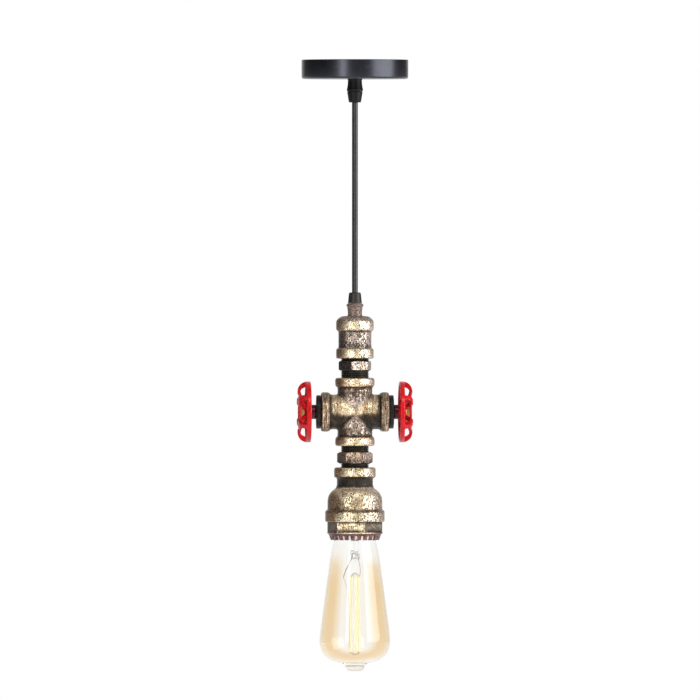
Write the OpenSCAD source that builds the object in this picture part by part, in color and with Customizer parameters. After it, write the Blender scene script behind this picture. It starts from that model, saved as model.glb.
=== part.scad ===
/* [Ceiling canopy] */
// Outer diameter of the ceiling canopy
canopy_d = 100; // [84:1:140]
// Height of the canopy, from the ceiling down
canopy_h = 18; // [17:0.5:30]
// Sheet thickness of the canopy
canopy_wall = 1; // [0.8:0.1:1.5]
// Width of the mounting strap
strap_w = 20; // [16:0.5:26]
// Thickness of the mounting strap
strap_t = 2; // [1.5:0.1:3]
// Distance between the two ceiling screw holes
strap_hole_spacing = 68; // [60:1:72]
// Diameter of the two ceiling screw holes
strap_hole_d = 4.6; // [3.6:0.1:6]

/* [Cord and glands] */
// Diameter of the cord
cord_d = 5.5; // [5:0.1:6.5]
// Cord that shows between the two glands
cord_show = 178; // [120:1:300]
// Length of the tapered gland body outside its seat
gland_body_h = 12; // [10:0.5:16]
// Length of the gland cap
gland_cap_h = 10; // [9.5:0.1:13]
// Diameter of the gland body at its seat
gland_seat_d = 13.2; // [12:0.1:16]
// Diameter of the collar of the canopy gland
canopy_collar_d = 15.2; // [14:0.1:18]
// Diameter of the collar of the lamp gland
lamp_collar_d = 16.2; // [14:0.1:18]
// Diameter of the gland cap where it meets the collar
gland_cap_d = 13.2; // [12.6:0.1:15]
// Diameter of the gland cap at the cord
gland_mouth_d = 10.9; // [10.6:0.1:12]
// Outer diameter of the gland's threaded tail
gland_tail_d = 9.8; // [9:0.1:10.4]

/* [Pipe fittings] */
// Outer diameter of the pipe thread that joins all fittings
pipe_thread_d = 26.2; // [23:0.1:30]
// Bore through the nipples
pipe_bore_d = 18; // [14:0.5:20]
// Depth of the threaded sockets
socket_depth = 14; // [12:0.5:16]
// Height of the top coupling
coupling_h = 40; // [34:0.5:60]
// Wall of the top coupling around its socket
coupling_wall = 2.25; // [1.8:0.05:4]
// Height of the two bands of the top coupling
coupling_band_h = 9; // [6:0.5:11]
// Height of the dome above the coupling's upper band
coupling_dome_h = 4.5; // [3.5:0.1:7]
// How far the bands stand out from the fittings
band_proud = 2.2; // [1:0.1:3]
// Distance from the middle of the cross to each of its four ends
cross_half = 32; // [30:0.5:42]
// Wall of the cross around its sockets
cross_wall = 3.15; // [2.2:0.05:4.5]
// Width of the four bands of the cross
cross_band_h = 8; // [5:0.5:10]
// Height of the plain neck above the upper hexagon
upper_neck_h = 2; // [1:0.1:5]
// Height of the upper hexagon
upper_hex_h = 9.5; // [6:0.1:14]
// Thread that shows below the upper hexagon
upper_thread_h = 6.5; // [2:0.1:10]
// Width across the flats of the upper hexagon
upper_hex_af = 27.8; // [27:0.1:34]
// Thread that shows above the lower hexagon
lower_thread_h = 5.5; // [2:0.1:10]
// Height of the lower hexagon
lower_hex_h = 11; // [6:0.1:14]
// Height of the plain neck below the lower hexagon
lower_neck_h = 3.5; // [1:0.1:6]
// Width across the flats of the lower hexagon
lower_hex_af = 29; // [27:0.1:34]
// Diameter of the side plugs
plug_d = 31.4; // [28:0.1:36]
// How far the side plugs stand out of the cross
plug_head_h = 4.2; // [3:0.1:7]

/* [Bell and lampholder] */
// Height of the upper band of the bell
bell_band_h = 9; // [6:0.5:11]
// Height of the bell's dark neck
bell_neck_h = 10; // [7:0.5:14]
// Height of the bell's dome
bell_dome_h = 7; // [6:0.1:9]
// Height of the straight side of the bell
bell_side_h = 15; // [13:0.5:24]
// Height of the large band of the bell
bell_rim_h = 10; // [9:0.5:14]
// Wall of the bell's neck around its socket
bell_neck_wall = 3.7; // [3:0.05:5]
// Diameter of the bell's straight side
bell_d = 51.3; // [50:0.1:60]
// Thread diameter between the bell and the hexagon bush
bush_thread_d = 48.2; // [47.4:0.1:49]
// Width across the flats of the hexagon bush
bush_af = 45.2; // [45:0.1:52]
// Height of the bush's hexagon
bush_hex_h = 9.6; // [8:0.1:14]
// Thickness of the bush's lower flange
bush_flange_h = 1.4; // [1:0.1:3]
// Diameter of the bush's lower flange
bush_flange_d = 52; // [50:0.1:58]
// Height of the castellated ring below the bush
ring_h = 6; // [5:0.1:9]
// Number of notches in the castellated ring
ring_notches = 24; // [16:1:30]
// Width of one notch
ring_notch_w = 2.2; // [1.4:0.1:3]
// Outer diameter of the lampholder body
holder_d = 40; // [39:0.1:41]
// Height of the lampholder's skirt
holder_skirt_h = 28; // [27:0.5:30]

/* [Bulb] */
// Length of the glass, from the cap's rim to the tip
glass_l = 132.5; // [115:0.5:150]
// Largest diameter of the glass
glass_d = 66; // [56:0.5:72]
// Thickness of the glass
glass_wall = 0.8; // [0.6:0.05:1.2]
// Outer diameter of the bulb's screw cap
cap_d = 26.4; // [26:0.1:26.8]
// Height of the bulb's screw cap, with its insulator
cap_h = 26; // [24:0.5:28]
// Number of hairpins of the filament cage
filament_strands = 8; // [6:2:12]

/* [Hand wheels] */
// Outer diameter of the hand wheels
wheel_d = 57.2; // [48:0.1:66]
// Depth of the hand wheels from back to front
wheel_depth = 12.4; // [11:0.1:16]
// Width of the wheel's outer skirt
wheel_skirt_w = 4.6; // [3:0.1:6]
// Number of spokes
wheel_spokes = 6; // [5:1:8]
// Width of a spoke
wheel_spoke_w = 4.2; // [3:0.1:5]
// Diameter of the wheel's front ring
wheel_ring_d = 37; // [34:0.1:40]
// Diameter of the wheel's hub
hub_d = 13.6; // [11:0.1:15]
// Diameter of the spindle's journal
spindle_d = 8; // [7.5:0.1:9]
// Gap between the side plug and the back of the wheel's skirt
wheel_standoff = 5.3; // [4:0.1:9]

/* [Hidden] */

// Resolution of round shapes that carry no facets of their own
$fn = 96;
arc_steps = 8;

// Clearances and overrun
thread_gap = 0.05;
running_gap = 0.05;
soft_gap = 0.3;
seat_gap = 0.1;
overrun = 1;

// Strap, ears and set screws
ear_t = strap_t;
ear_h = 12;
ear_gap = 0.4;
ear_outer_r = canopy_d / 2 - canopy_wall - ear_gap;
set_screw_d = 4;
set_screw_l = 5;
set_screw_z = 8;
set_screw_hex_af = 2;
set_screw_hex_depth = 2.2;
strap_screw_d = 3;
strap_screw_head_d = 5.6;
strap_screw_head_h = 1.6;
strap_screw_slot_w = 1;
strap_screw_slot_depth = 0.7;
strap_screw_end = 0.4;
earth_screw_x = 18;

// Terminal block, with its poles side by side across the strap
block_x = 19.5;
block_w = 24;
block_l = 17;
block_h = 11;
block_pole_pitch = 8;
block_entry_d = 3.4;
block_screw_well_d = 3.8;
block_screw_depth = 4.6;
block_screw_sunk = 0.8;
block_screw_l = 3;
block_screw_slot_w = 0.7;
block_screw_slot_depth = 0.8;
block_screw_y = 5;
block_entry_z = -strap_t - block_h / 2;
block_screw_low_z = -strap_t - block_h + block_screw_sunk;
block_groove_w = 1.2;
block_groove_depth = 3;

// Canopy rounding
canopy_round = 2;
canopy_hole_d = gland_tail_d + 2 * seat_gap;

// Glands, measured from the seat outwards to the cord
gland_tail_l = 9;
gland_bore_d = cord_d + 2 * seat_gap;
gland_spigot_d = 10.2;
gland_spigot_l = 5;
gland_collar_h = 1.6;
gland_collar_slope_h = 1.2;
gland_pocket_d = 8.6;
gland_collet_d = gland_pocket_d - 2 * seat_gap;
collet_slit_w = 0.8;
gland_round = 0.8;
gland_h = gland_body_h + gland_cap_h;
gland_nut_af = 14;
gland_nut_h = 3;
gland_nut_chamfer = 0.6;

// Cord bush: a ball in the mouth of the canopy gland, with the swing's centre as its own
bush_ball_r = 4.3;
bush_half_h = 1.6;
bush_seat_gap = 0.1;
swing_inset = 2;
swing_limit = 15;
cord_clear = 0.1;

// Heights along the lamp, from the ceiling down
canopy_z = -canopy_h;
swing_z = canopy_z - gland_h + swing_inset;
cord_mouth_z = canopy_z - gland_h;
lamp_gland_top_z = cord_mouth_z - cord_show;
coupling_top_z = lamp_gland_top_z - gland_h;
coupling_bottom_z = coupling_top_z - coupling_h;
upper_nipple_show = upper_neck_h + upper_hex_h + upper_thread_h;
cross_top_z = coupling_bottom_z - upper_nipple_show;
cross_z = cross_top_z - cross_half;
cross_bottom_z = cross_z - cross_half;
lower_nipple_show = lower_thread_h + lower_hex_h + lower_neck_h;
bell_top_z = cross_bottom_z - lower_nipple_show;
bell_h = bell_band_h + bell_neck_h + bell_dome_h + bell_side_h + bell_rim_h;
bell_bottom_z = bell_top_z - bell_h;
bush_bottom_z = bell_bottom_z - bush_hex_h - bush_flange_h;
ring_bottom_z = bush_bottom_z - ring_h;

// Radii and depths of the threaded joints
thread_r = pipe_thread_d / 2;
socket_r = thread_r + thread_gap;
thread_end_gap = 1.2;
thread_in = socket_depth - thread_end_gap;
nipple_bore_r = pipe_bore_d / 2;
passage_wall = 2;
passage_r = thread_r - passage_wall;
coupling_r = socket_r + coupling_wall;
cross_r = socket_r + cross_wall;
bell_neck_r = socket_r + bell_neck_wall;
bell_r = bell_d / 2;
band_round = 1.4;
fillet_r = 1.2;
cross_band_round = 2.1;
cross_fillet_r = 2;
hex_chamfer = 1.3;
thread_pitch = 1.8;
thread_cut = 0.8;
// Places along one pitch where a ring's crest ends, where its root lies and where the next crest starts
thread_shares = [0.1, 0.5, 0.9];
upper_hex_turn = 14;
lower_hex_turn = -5;
bush_hex_turn = -16;
coupling_top_hole_d = gland_tail_d + 2 * running_gap;
coupling_top_wall = 4;
coupling_shoulder_r = 8.4;

// Bell inside
bell_band_proud = 2.65;
bell_wall = 2.5;
bush_thread_r = bush_thread_d / 2;
bush_thread_l = 9;
bell_step = 0.9;
bell_cavity_r = bell_r - bell_wall - bell_step;
bell_cavity_top_r = 13;

// Bush, retaining ring and lampholder
sleeve_wall = 1.6;
bush_bore_r = holder_d / 2 + sleeve_wall;
sleeve_l = 10;
ring_top_r = 25;
ring_low_r = 22.7;
ring_bore_r = 20.5;
ring_lip_r = 17.5;
ring_lip_h = 1.5;
ring_notch_h = 4;
holder_r = holder_d / 2;
holder_boss_r = 16.5;
holder_boss_h = 6.5;
holder_floor = 3.5;
holder_edge = 1.2;
shell_wall = 0.5;
cap_gap = 0.3;
shell_in_r = cap_d / 2 + cap_gap;
shell_out_r = shell_in_r + shell_wall;
holder_bore_r = shell_out_r + seat_gap;
holder_top_z = bush_bottom_z + holder_skirt_h + holder_boss_h;
holder_floor_z = holder_top_z - holder_floor;
contact_h = 1.2;
contact_r = 5;
contact_leaf_t = 0.5;
tip_z = holder_floor_z - contact_h;
shell_rim_gap = 2.2;
screw_pitch = 3.6;
screw_cut = 0.7;
holder_screw_d = 3;
holder_screw_head_d = 5.4;
holder_screw_head_h = 1.8;
holder_screw_l = 3;
holder_screw_x = 10.5;
holder_screw_slot_w = 0.8;
holder_mouth_r = 17;
bell_screw_d = 3;
bell_screw_head_d = 5;
bell_screw_head_h = 1.6;
bell_screw_l = 4.5;
bell_screw_y = 13.6;
bell_cavity_z = bell_top_z - bell_band_h - bell_neck_h - bell_wall;

// Bulb
cap_rim_z = tip_z - cap_h;
glass_tip_z = cap_rim_z - glass_l;
cap_r = cap_d / 2;
cap_wall = 0.4;
cap_crown_l = 3;
insulator_h = 5.2;
insulator_top_r = 5.6;
insulator_foot_r = 11.4;
tip_r = 4.8;
tip_h = 1.3;
cap_neck_gap = 0.15;
glass_steps = 5;
// The glass's neck inside the ring, and then places along the glass and radii as shares of its
// length and of its largest radius
glass_rim_r = 13.2;
glass_collar_r = 13.7;
glass_collar_drop = 2;
glass_lip_gap = 1.5;
glass_ring_gap = 1.5;
glass_ring_up = 0.8;
glass_length_shares = [0.17, 0.295, 0.468, 0.62, 0.76, 0.838, 0.893, 0.93, 0.946];
glass_radius_shares = [0.68, 0.757, 0.85, 0.932, 1, 0.972, 0.845, 0.62, 0.36];
nub_top_r = 9;
nub_low_r = 6;
nub_h = 6.4;
nub_round = 1.6;
glass_neck_r = cap_r - screw_cut - cap_wall - cap_neck_gap;
glass_neck_in = 8;
stem_flare_r = glass_neck_r - glass_wall - cap_neck_gap;
stem_flare_in = 4;
stem_r = 3.4;
stem_flare_l = 12;
stem_tube_l = 22;
stem_press_w = 8;
stem_press_t = 2.6;
stem_press_l = 7;
rod_r = 1;
rod_end = 2;
cage_top_r = 5.6;
cage_low_r = 6.4;
cage_top_drop = 44;
cage_tip_gap = 17.5;
cage_low_drop = glass_l - cage_tip_gap;
wire_r = 0.3;
lead_r = 0.4;
lead_out_x = 9.5;
lead_out_drop = 43;
filament_r = 0.35;
hook_half_w = 0.5;

// Cores
core_r = 1;
core_off = 1.3;
core_sides = 8;
core_steps = 3;
core_room = 2 * core_r + 2 * seat_gap;
core_in = 4;

// Hand wheels, measured from the back of the skirt outwards
wheel_r = wheel_d / 2;
wheel_back_x = cross_half + plug_head_h + wheel_standoff;
wheel_skirt_wall = 2.3;
wheel_arch_r = 9.1;
wheel_arch_t = 3;
wheel_arch_root = 5.4;
wheel_ring_w = 3;
wheel_ring_t = 2.2;
wheel_ring_drop = 1;
wheel_elbow_in = 2.6;
spoke_inset = 0.15;
hub_r = hub_d / 2;
hub_front = 6;
hub_gap = 0.3;
hub_round = 0.6;
hub_socket_w = 5.6;
square_gap = 0.05;
stud_d = 4;
stud_l = 4.6;
washer_r = 4.8;
washer_t = 0.8;
nut_af = 8;
nut_h = 3.2;
plug_bore_r = spindle_d / 2 + running_gap;
plug_thread_l = 12;
plug_round = 0.8;
spindle_groove_r = 3;
clip_r = 6;
clip_t = 1;
clip_gap = 0.1;
spindle_tip_l = 1.6;
spindle_square_w = hub_socket_w - 2 * square_gap;

// Colours
c_black = "#26262a";
c_steel = "#a9abad";
c_dark = "#2b2a26";
c_gold = "#b39a6b";
c_bronze = "#86705f";
c_red = "#d8242a";
c_brass = "#c9a75a";

// Points of an arc about (cx, cy)
function arc(cx, cy, r, a0, a1, n = arc_steps) =
    [for (i = [0:n]) [cx + r * cos(a0 + (a1 - a0) * i / n), cy + r * sin(a0 + (a1 - a0) * i / n)]];

// Points of the outer side of a band from z1 down to z0, with both edges rounded
function band_side(r, z1, z0, e) = concat(arc(r - e, z1 - e, e, 90, 0, 4), arc(r - e, z0 + e, e, 0, -90, 4));

// A curve through a row of points, with n pieces between two of them
function spline_at(p, i, t) = let (
    a = p[max(i - 1, 0)], b = p[i], c = p[i + 1], d = p[min(i + 2, len(p) - 1)])
    b + 0.5 * t * ((c - a) + t * ((2 * a - 5 * b + 4 * c - d) + t * (3 * (b - c) + d - a)));
function spline(p, n) = concat(
    [for (i = [0:len(p) - 2], k = [0:n - 1]) spline_at(p, i, k / n)],
    [p[len(p) - 1]]);

module turned(points) {
    rotate_extrude() polygon(points);
}

module tube(r_out, r_in, z_low, z_high) {
    translate([0, 0, z_low]) difference() {
        cylinder(r = r_out, h = z_high - z_low);
        translate([0, 0, -overrun]) cylinder(r = r_in, h = z_high - z_low + 2 * overrun);
    }
}

module disc(r, z_low, z_high) {
    translate([0, 0, z_low]) cylinder(r = r, h = z_high - z_low);
}

// A hexagonal prism with its corners turned down at both ends
module hexagon(af, h, chamfer, turn) {
    ac_r = af / 2 / cos(30);
    intersection() {
        rotate([0, 0, turn]) cylinder(r = ac_r, h = h, $fn = 6);
        turned([[0, 0], [ac_r - chamfer, 0], [ac_r, chamfer / 2], [ac_r, h - chamfer / 2],
            [ac_r - chamfer, h], [0, h]]);
    }
}

// A straight rod between two points
module rod(a, b, r) {
    v = b - a;
    l = norm(v);
    translate(a) rotate([0, acos(v[2] / l), atan2(v[1], v[0])]) cylinder(r = r, h = l, $fn = 16);
}

// The direction of a row of points at one of them, and a side direction carried along the row
function unit(v) = v / norm(v);
function along(p, i) = unit((i < len(p) - 1 ? unit(p[i + 1] - p[i]) : [0, 0, 0])
    + (i > 0 ? unit(p[i] - p[i - 1]) : [0, 0, 0]));
function sides(p, i, u) = i == len(p) ? [] : let (t = along(p, i), w = unit(u - (u * t) * t))
    concat([w], sides(p, i + 1, w));

// One tube with n sides, swept along a row of points with a radius for each
module swept(p, radii, n) {
    u = sides(p, 0, abs(along(p, 0)[1]) > 0.7 ? [1, 0, 0] : [0, 1, 0]);
    last = len(p) - 1;
    points = [for (i = [0:last], k = [0:n - 1]) let (v = cross(along(p, i), u[i]))
        p[i] + radii[i] * (cos(360 * k / n) * u[i] + sin(360 * k / n) * v)];
    faces = concat(
        [[for (k = [0:n - 1]) k]],
        [for (i = [0:last - 1], k = [0:n - 1])
            [i * n + k, (i + 1) * n + k, (i + 1) * n + (k + 1) % n, i * n + (k + 1) % n]],
        [[for (k = [0:n - 1]) last * n + n - 1 - k]]);
    polyhedron(points, faces, convexity = 4);
}

// Ceiling canopy and what it holds

module mounting_strap() color(c_steel) {
    difference() {
        intersection() {
            translate([-ear_outer_r, -strap_w / 2, -strap_t]) cube([2 * ear_outer_r, strap_w, strap_t]);
            disc(ear_outer_r, -strap_t, 0);
        }
        for (side = [-1, 1]) translate([side * strap_hole_spacing / 2, 0, -strap_t - overrun])
            cylinder(d = strap_hole_d, h = strap_t + 2 * overrun);
        translate([block_x, block_pole_pitch / 2, -strap_t - overrun])
            cylinder(d = strap_screw_d + 2 * seat_gap, h = strap_t + 2 * overrun);
        translate([-earth_screw_x, 0, -strap_t - overrun])
            cylinder(d = strap_screw_d + 2 * seat_gap, h = strap_t + 2 * overrun);
    }
    for (side = [-1, 1]) difference() {
        intersection() {
            tube(ear_outer_r, ear_outer_r - ear_t, -ear_h, -strap_t / 2);
            translate([side * ear_outer_r - ear_outer_r / 2, -strap_w / 2, -ear_h])
                cube([ear_outer_r, strap_w, ear_h]);
        }
        translate([side * (ear_outer_r - ear_t) - side * overrun, 0, -set_screw_z])
            rotate([0, side * 90, 0]) cylinder(d = set_screw_d + 2 * seat_gap, h = ear_t + 2 * overrun);
    }
}

module ceiling_canopy() color(c_black) {
    r = canopy_d / 2;
    e = canopy_round;
    t = canopy_wall;
    difference() {
        turned(concat(
            [[canopy_hole_d / 2, canopy_z]],
            arc(r - e, canopy_z + e, e, -90, 0),
            [[r, 0], [r - t, 0]],
            arc(r - e, canopy_z + e, e - t, 0, -90),
            [[canopy_hole_d / 2, canopy_z + t]]));
        for (side = [-1, 1]) translate([side * (r - 3 * t), 0, -set_screw_z])
            rotate([0, side * 90, 0]) cylinder(d = set_screw_d + 2 * seat_gap, h = 4 * t);
    }
}

module canopy_set_screws() color(c_dark) {
    for (side = [-1, 1]) translate([side * canopy_d / 2, 0, -set_screw_z]) rotate([0, -side * 90, 0])
        difference() {
            cylinder(d = set_screw_d, h = set_screw_l);
            translate([0, 0, -overrun])
                cylinder(r = set_screw_hex_af / 2 / cos(30), h = set_screw_hex_depth + overrun, $fn = 6);
        }
}

module terminal_block() color("#e9e6dc") {
    low = -strap_t - block_h;
    difference() {
        translate([block_x - block_l / 2, -block_w / 2, low]) cube([block_l, block_w, block_h]);
        for (pole = [-1:1]) {
            translate([block_x - block_l / 2 - overrun, pole * block_pole_pitch, block_entry_z])
                rotate([0, 90, 0]) cylinder(d = block_entry_d, h = block_l + 2 * overrun);
            for (row = [-1, 1])
                translate([block_x + row * block_screw_y, pole * block_pole_pitch, low - overrun])
                    cylinder(d = block_screw_well_d, h = block_screw_depth + overrun);
        }
        for (gap = [-1, 1])
            translate([block_x - block_l / 2 - overrun,
                gap * block_pole_pitch / 2 - block_groove_w / 2, low - overrun])
                cube([block_l + 2 * overrun, block_groove_w, block_groove_depth + overrun]);
        translate([block_x, block_pole_pitch / 2, low - overrun])
            cylinder(d = strap_screw_d + 2 * seat_gap, h = block_h + 2 * overrun);
    }
}

// Small slotted screws, head down, with their tips where the wire is held
module slotted_screw(d, head_d, head_h, l, slot_w, slot_depth) {
    difference() {
        union() {
            translate([0, 0, -head_h]) cylinder(d = head_d, h = head_h);
            cylinder(d = d, h = l);
        }
        translate([-head_d / 2 - overrun, -slot_w / 2, -head_h - overrun])
            cube([head_d + 2 * overrun, slot_w, slot_depth + overrun]);
    }
}

module terminal_screws() color(c_brass) {
    for (pole = [-1:1], row = [-1, 1])
        translate([block_x + row * block_screw_y, pole * block_pole_pitch, block_screw_low_z]) difference() {
            cylinder(d = block_screw_well_d - 2 * seat_gap, h = block_screw_l);
            translate([-block_screw_well_d, -block_screw_slot_w / 2, -overrun])
                cube([2 * block_screw_well_d, block_screw_slot_w, block_screw_slot_depth + overrun]);
        }
}

module strap_screws() color(c_steel) {
    translate([block_x, block_pole_pitch / 2, -strap_t - block_h])
        slotted_screw(strap_screw_d, strap_screw_head_d, strap_screw_head_h,
            strap_t + block_h - strap_screw_end, strap_screw_slot_w, strap_screw_slot_depth);
    translate([-earth_screw_x, 0, -strap_t - core_room])
        slotted_screw(strap_screw_d, strap_screw_head_d, strap_screw_head_h,
            strap_t + core_room - strap_screw_end, strap_screw_slot_w, strap_screw_slot_depth);
}

// Glands are drawn standing on their seat, with the cord leaving upwards

module gland_body(collar_d) {
    seat_r = gland_seat_d / 2;
    collar_r = collar_d / 2;
    collar_low = gland_body_h - gland_collar_slope_h - gland_collar_h;
    cone_r = collar_r - gland_round / 2;
    turned([[gland_bore_d / 2, -gland_tail_l], [gland_tail_d / 2, -gland_tail_l], [gland_tail_d / 2, 0],
        [seat_r, 0], [cone_r, collar_low], [collar_r, collar_low + gland_round / 2],
        [collar_r, gland_body_h - gland_collar_slope_h], [gland_cap_d / 2, gland_body_h],
        [gland_spigot_d / 2, gland_body_h], [gland_spigot_d / 2, gland_body_h + gland_spigot_l],
        [gland_pocket_d / 2, gland_body_h + gland_spigot_l], [gland_pocket_d / 2, gland_body_h],
        [gland_bore_d / 2, gland_body_h]]);
}

module gland_collet() {
    difference() {
        tube(gland_collet_d / 2, cord_d / 2, gland_body_h, gland_body_h + gland_spigot_l - seat_gap);
        for (turn = [0:2]) rotate([0, 0, turn * 120])
            translate([cord_d / 2 + collet_slit_w, -collet_slit_w / 2, gland_body_h + gland_spigot_l / 2])
                cube([gland_pocket_d, collet_slit_w, gland_spigot_l]);
    }
}

module gland_nut() {
    difference() {
        hexagon(gland_nut_af, gland_nut_h, gland_nut_chamfer, 0);
        translate([0, 0, -overrun])
            cylinder(r = gland_tail_d / 2 + thread_gap, h = gland_nut_h + 2 * overrun);
    }
}

module canopy_gland() {
    translate([0, 0, canopy_z]) mirror([0, 0, 1]) children();
}

module lamp_gland() {
    translate([0, 0, coupling_top_z]) children();
}

module canopy_gland_body() color(c_black) {
    canopy_gland() gland_body(canopy_collar_d);
}

module canopy_gland_nut() color(c_steel) {
    translate([0, 0, canopy_z + canopy_wall]) gland_nut();
}

module canopy_gland_collet() color("#55565a") {
    canopy_gland() gland_collet();
}

// The cap's mouth is a round seat for the cord bush, narrower at its lip than the bush's ball
module canopy_gland_cap() color(c_black) {
    inner_top = gland_body_h + gland_spigot_l + seat_gap;
    spigot_r = gland_spigot_d / 2 + thread_gap;
    mouth_r = gland_mouth_d / 2;
    centre = gland_h - swing_inset;
    canopy_gland() difference() {
        turned(concat(
            [[spigot_r, gland_body_h], [gland_cap_d / 2, gland_body_h]],
            arc(mouth_r - gland_round, gland_h - gland_round, gland_round, 0, 90, 4),
            [[0, gland_h], [0, inner_top], [spigot_r, inner_top]]));
        translate([0, 0, centre]) sphere(r = bush_ball_r + bush_seat_gap);
        disc(bush_ball_r + bush_seat_gap, inner_top - overrun, centre);
    }
}

module canopy_cord_bush() color("#37373a") {
    neck_r = cord_d / 2 / cos(swing_limit) + cord_clear;
    end_h = bush_half_h + overrun;
    flare = end_h * tan(swing_limit);
    translate([0, 0, swing_z]) difference() {
        intersection() {
            sphere(r = bush_ball_r);
            disc(bush_ball_r + overrun, -bush_half_h, bush_half_h);
        }
        turned([[0, -end_h], [neck_r + flare, -end_h], [neck_r, 0], [neck_r + flare, end_h], [0, end_h]]);
    }
}

module canopy_cord_tail() color("#2a2a2c") {
    disc(cord_d / 2, swing_z + cord_d / 2 + soft_gap, canopy_z + gland_tail_l);
}

// Cores of the cord tail, on routes chosen by hand, in the room above the canopy's floor
core_exit_z = canopy_z + gland_tail_l;
core_turns = [-60, 60, 180];
core_low_z = core_exit_z + 2.4;
core_in_block_x = block_x - block_l / 2 + core_in;
core_on_strap_z = -strap_t - core_room / 2;
live_in_canopy = [[3, -2.6, core_low_z], [5.4, -6.4, core_low_z], [8.4, -block_pole_pitch, block_entry_z],
    [core_in_block_x, -block_pole_pitch, block_entry_z]];
neutral_in_canopy = [[3, 2.6, core_low_z], [5.4, 6.4, core_low_z], [8.4, block_pole_pitch, block_entry_z],
    [core_in_block_x, block_pole_pitch, block_entry_z]];
earth_in_canopy = [[-3, 0, core_exit_z + 3], [-7, 0.6, core_exit_z + 5], [-11, 0.3, core_on_strap_z],
    [strap_screw_d / 2 + seat_gap - earth_screw_x, 0, core_on_strap_z]];

// A core leaves start along the cord's own axis, and then follows its route
module bent_core(start, route) {
    path = concat([start], spline(route, core_steps));
    swept(path, [for (p = path) core_r], core_sides);
}

module canopy_core(k, route) {
    start = [core_off * cos(core_turns[k]), core_off * sin(core_turns[k]), core_exit_z];
    bent_core(start, concat([start + [0, 0, core_r]], route));
}

module canopy_live_core() color("#6b4226") canopy_core(0, live_in_canopy);
module canopy_neutral_core() color("#2f5ea8") canopy_core(1, neutral_in_canopy);
module canopy_earth_core() color("#5f9a3a") canopy_core(2, earth_in_canopy);

// The hanging cord: a tube swept along its route, with a round top about the swing's centre
cord_route = [[0, 0, -38], [0, 0, -44], [0, 0, -58], [0, 0, -72], [0, 0, -86], [0, 0, -100], [0, 0, -114],
    [0, 0, -128], [0, 0, -142], [0, 0, -156], [0, 0, -170], [0, 0, -184], [0, 0, -198], [0, 0, -212],
    [0, 0, -223]];
cord_sides = 12;
cord_top_steps = 4;

module hanging_cord() color("#1d1d1f") {
    r = cord_d / 2;
    top = cord_route[0];
    steps = [for (k = [0.25:cord_top_steps]) 90 * k / cord_top_steps];
    swept(concat([for (a = steps) top + [0, 0, r * cos(a)]], cord_route),
        concat([for (a = steps) r * sin(a)], [for (p = cord_route) r]), cord_sides);
}

module lamp_gland_body() color(c_bronze) {
    lamp_gland() gland_body(lamp_collar_d);
}

module lamp_gland_collet() color("#55565a") {
    lamp_gland() gland_collet();
}

module lamp_gland_cap() color("#44413d") {
    spigot_top = gland_body_h + gland_spigot_l;
    mouth_r = gland_mouth_d / 2;
    lamp_gland() turned(concat(
        [[gland_spigot_d / 2 + thread_gap, gland_body_h], [gland_cap_d / 2, gland_body_h]],
        arc(mouth_r - gland_round, gland_h - 2 * gland_round, gland_round, 0, 60, 4),
        [[cord_d / 2 + 2 * soft_gap, gland_h], [cord_d / 2 + soft_gap, gland_h],
            [cord_d / 2 + soft_gap, spigot_top + seat_gap],
            [gland_spigot_d / 2 + thread_gap, spigot_top + seat_gap]]));
}

module lamp_cord_tail() color("#2a2a2c") {
    disc(cord_d / 2, coupling_top_z - gland_tail_l,
        coupling_top_z + gland_body_h + gland_spigot_l - seat_gap);
}

// Pipe fittings

// Rings cut into a thread, drawn as part of an outline from the height z1 down to z0
function thread_side(r, z1, z0) = let (count = floor((z1 - z0) / thread_pitch), pitch = (z1 - z0) / count)
    [for (i = [0:count - 1], k = [0:2])
        [k == 1 ? r - thread_cut : r, z1 - pitch * (i + thread_shares[k])]];

module top_coupling() color(c_gold) {
    z1 = coupling_top_z;
    z0 = coupling_bottom_z;
    band_r = coupling_r + band_proud;
    dome_h = coupling_dome_h;
    dome_r = band_r - coupling_shoulder_r;
    upper_low = z1 - dome_h - coupling_band_h;
    turned(concat(
        [[coupling_top_hole_d / 2, z1], [coupling_shoulder_r, z1]],
        [for (k = [1:arc_steps]) [coupling_shoulder_r + dome_r * sin(90 * k / arc_steps),
            z1 - dome_h + dome_h * cos(90 * k / arc_steps)]],
        arc(band_r - band_round, upper_low + band_round, band_round, 0, -90, 4),
        arc(coupling_r + fillet_r, upper_low - fillet_r, fillet_r, 90, 180, 4),
        arc(coupling_r + fillet_r, z0 + coupling_band_h + fillet_r, fillet_r, 180, 270, 4),
        band_side(band_r, z0 + coupling_band_h, z0, band_round),
        [[socket_r, z0], [socket_r, z0 + socket_depth], [passage_r, z0 + socket_depth],
            [passage_r, z1 - coupling_top_wall], [coupling_top_hole_d / 2, z1 - coupling_top_wall]]));
}

// A nipple that shows neck_h, hex_h and low_h between two sockets, from the height z1 down
module nipple(z1, upper_h, hex_h, low_h, af, turn, upper_cut, low_cut) {
    top = z1 + thread_in;
    hex_top = z1 - upper_h;
    hex_low = hex_top - hex_h;
    low = hex_low - low_h - thread_in;
    difference() {
        union() {
            turned(concat(
                [[0, top], [thread_r, top], [thread_r, z1]],
                upper_cut ? thread_side(thread_r, z1, hex_top) : [],
                [[thread_r, hex_top], [thread_r, hex_low]],
                low_cut ? thread_side(thread_r, hex_low, hex_low - low_h) : [],
                [[thread_r, hex_low - low_h], [thread_r, low], [0, low]]));
            translate([0, 0, hex_low]) hexagon(af, hex_h, hex_chamfer, turn);
        }
        translate([0, 0, low - overrun]) cylinder(r = nipple_bore_r, h = top - low + 2 * overrun);
    }
}

module upper_nipple() color(c_dark) {
    nipple(coupling_bottom_z, upper_neck_h, upper_hex_h, upper_thread_h, upper_hex_af, upper_hex_turn,
        false, true);
}

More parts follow.
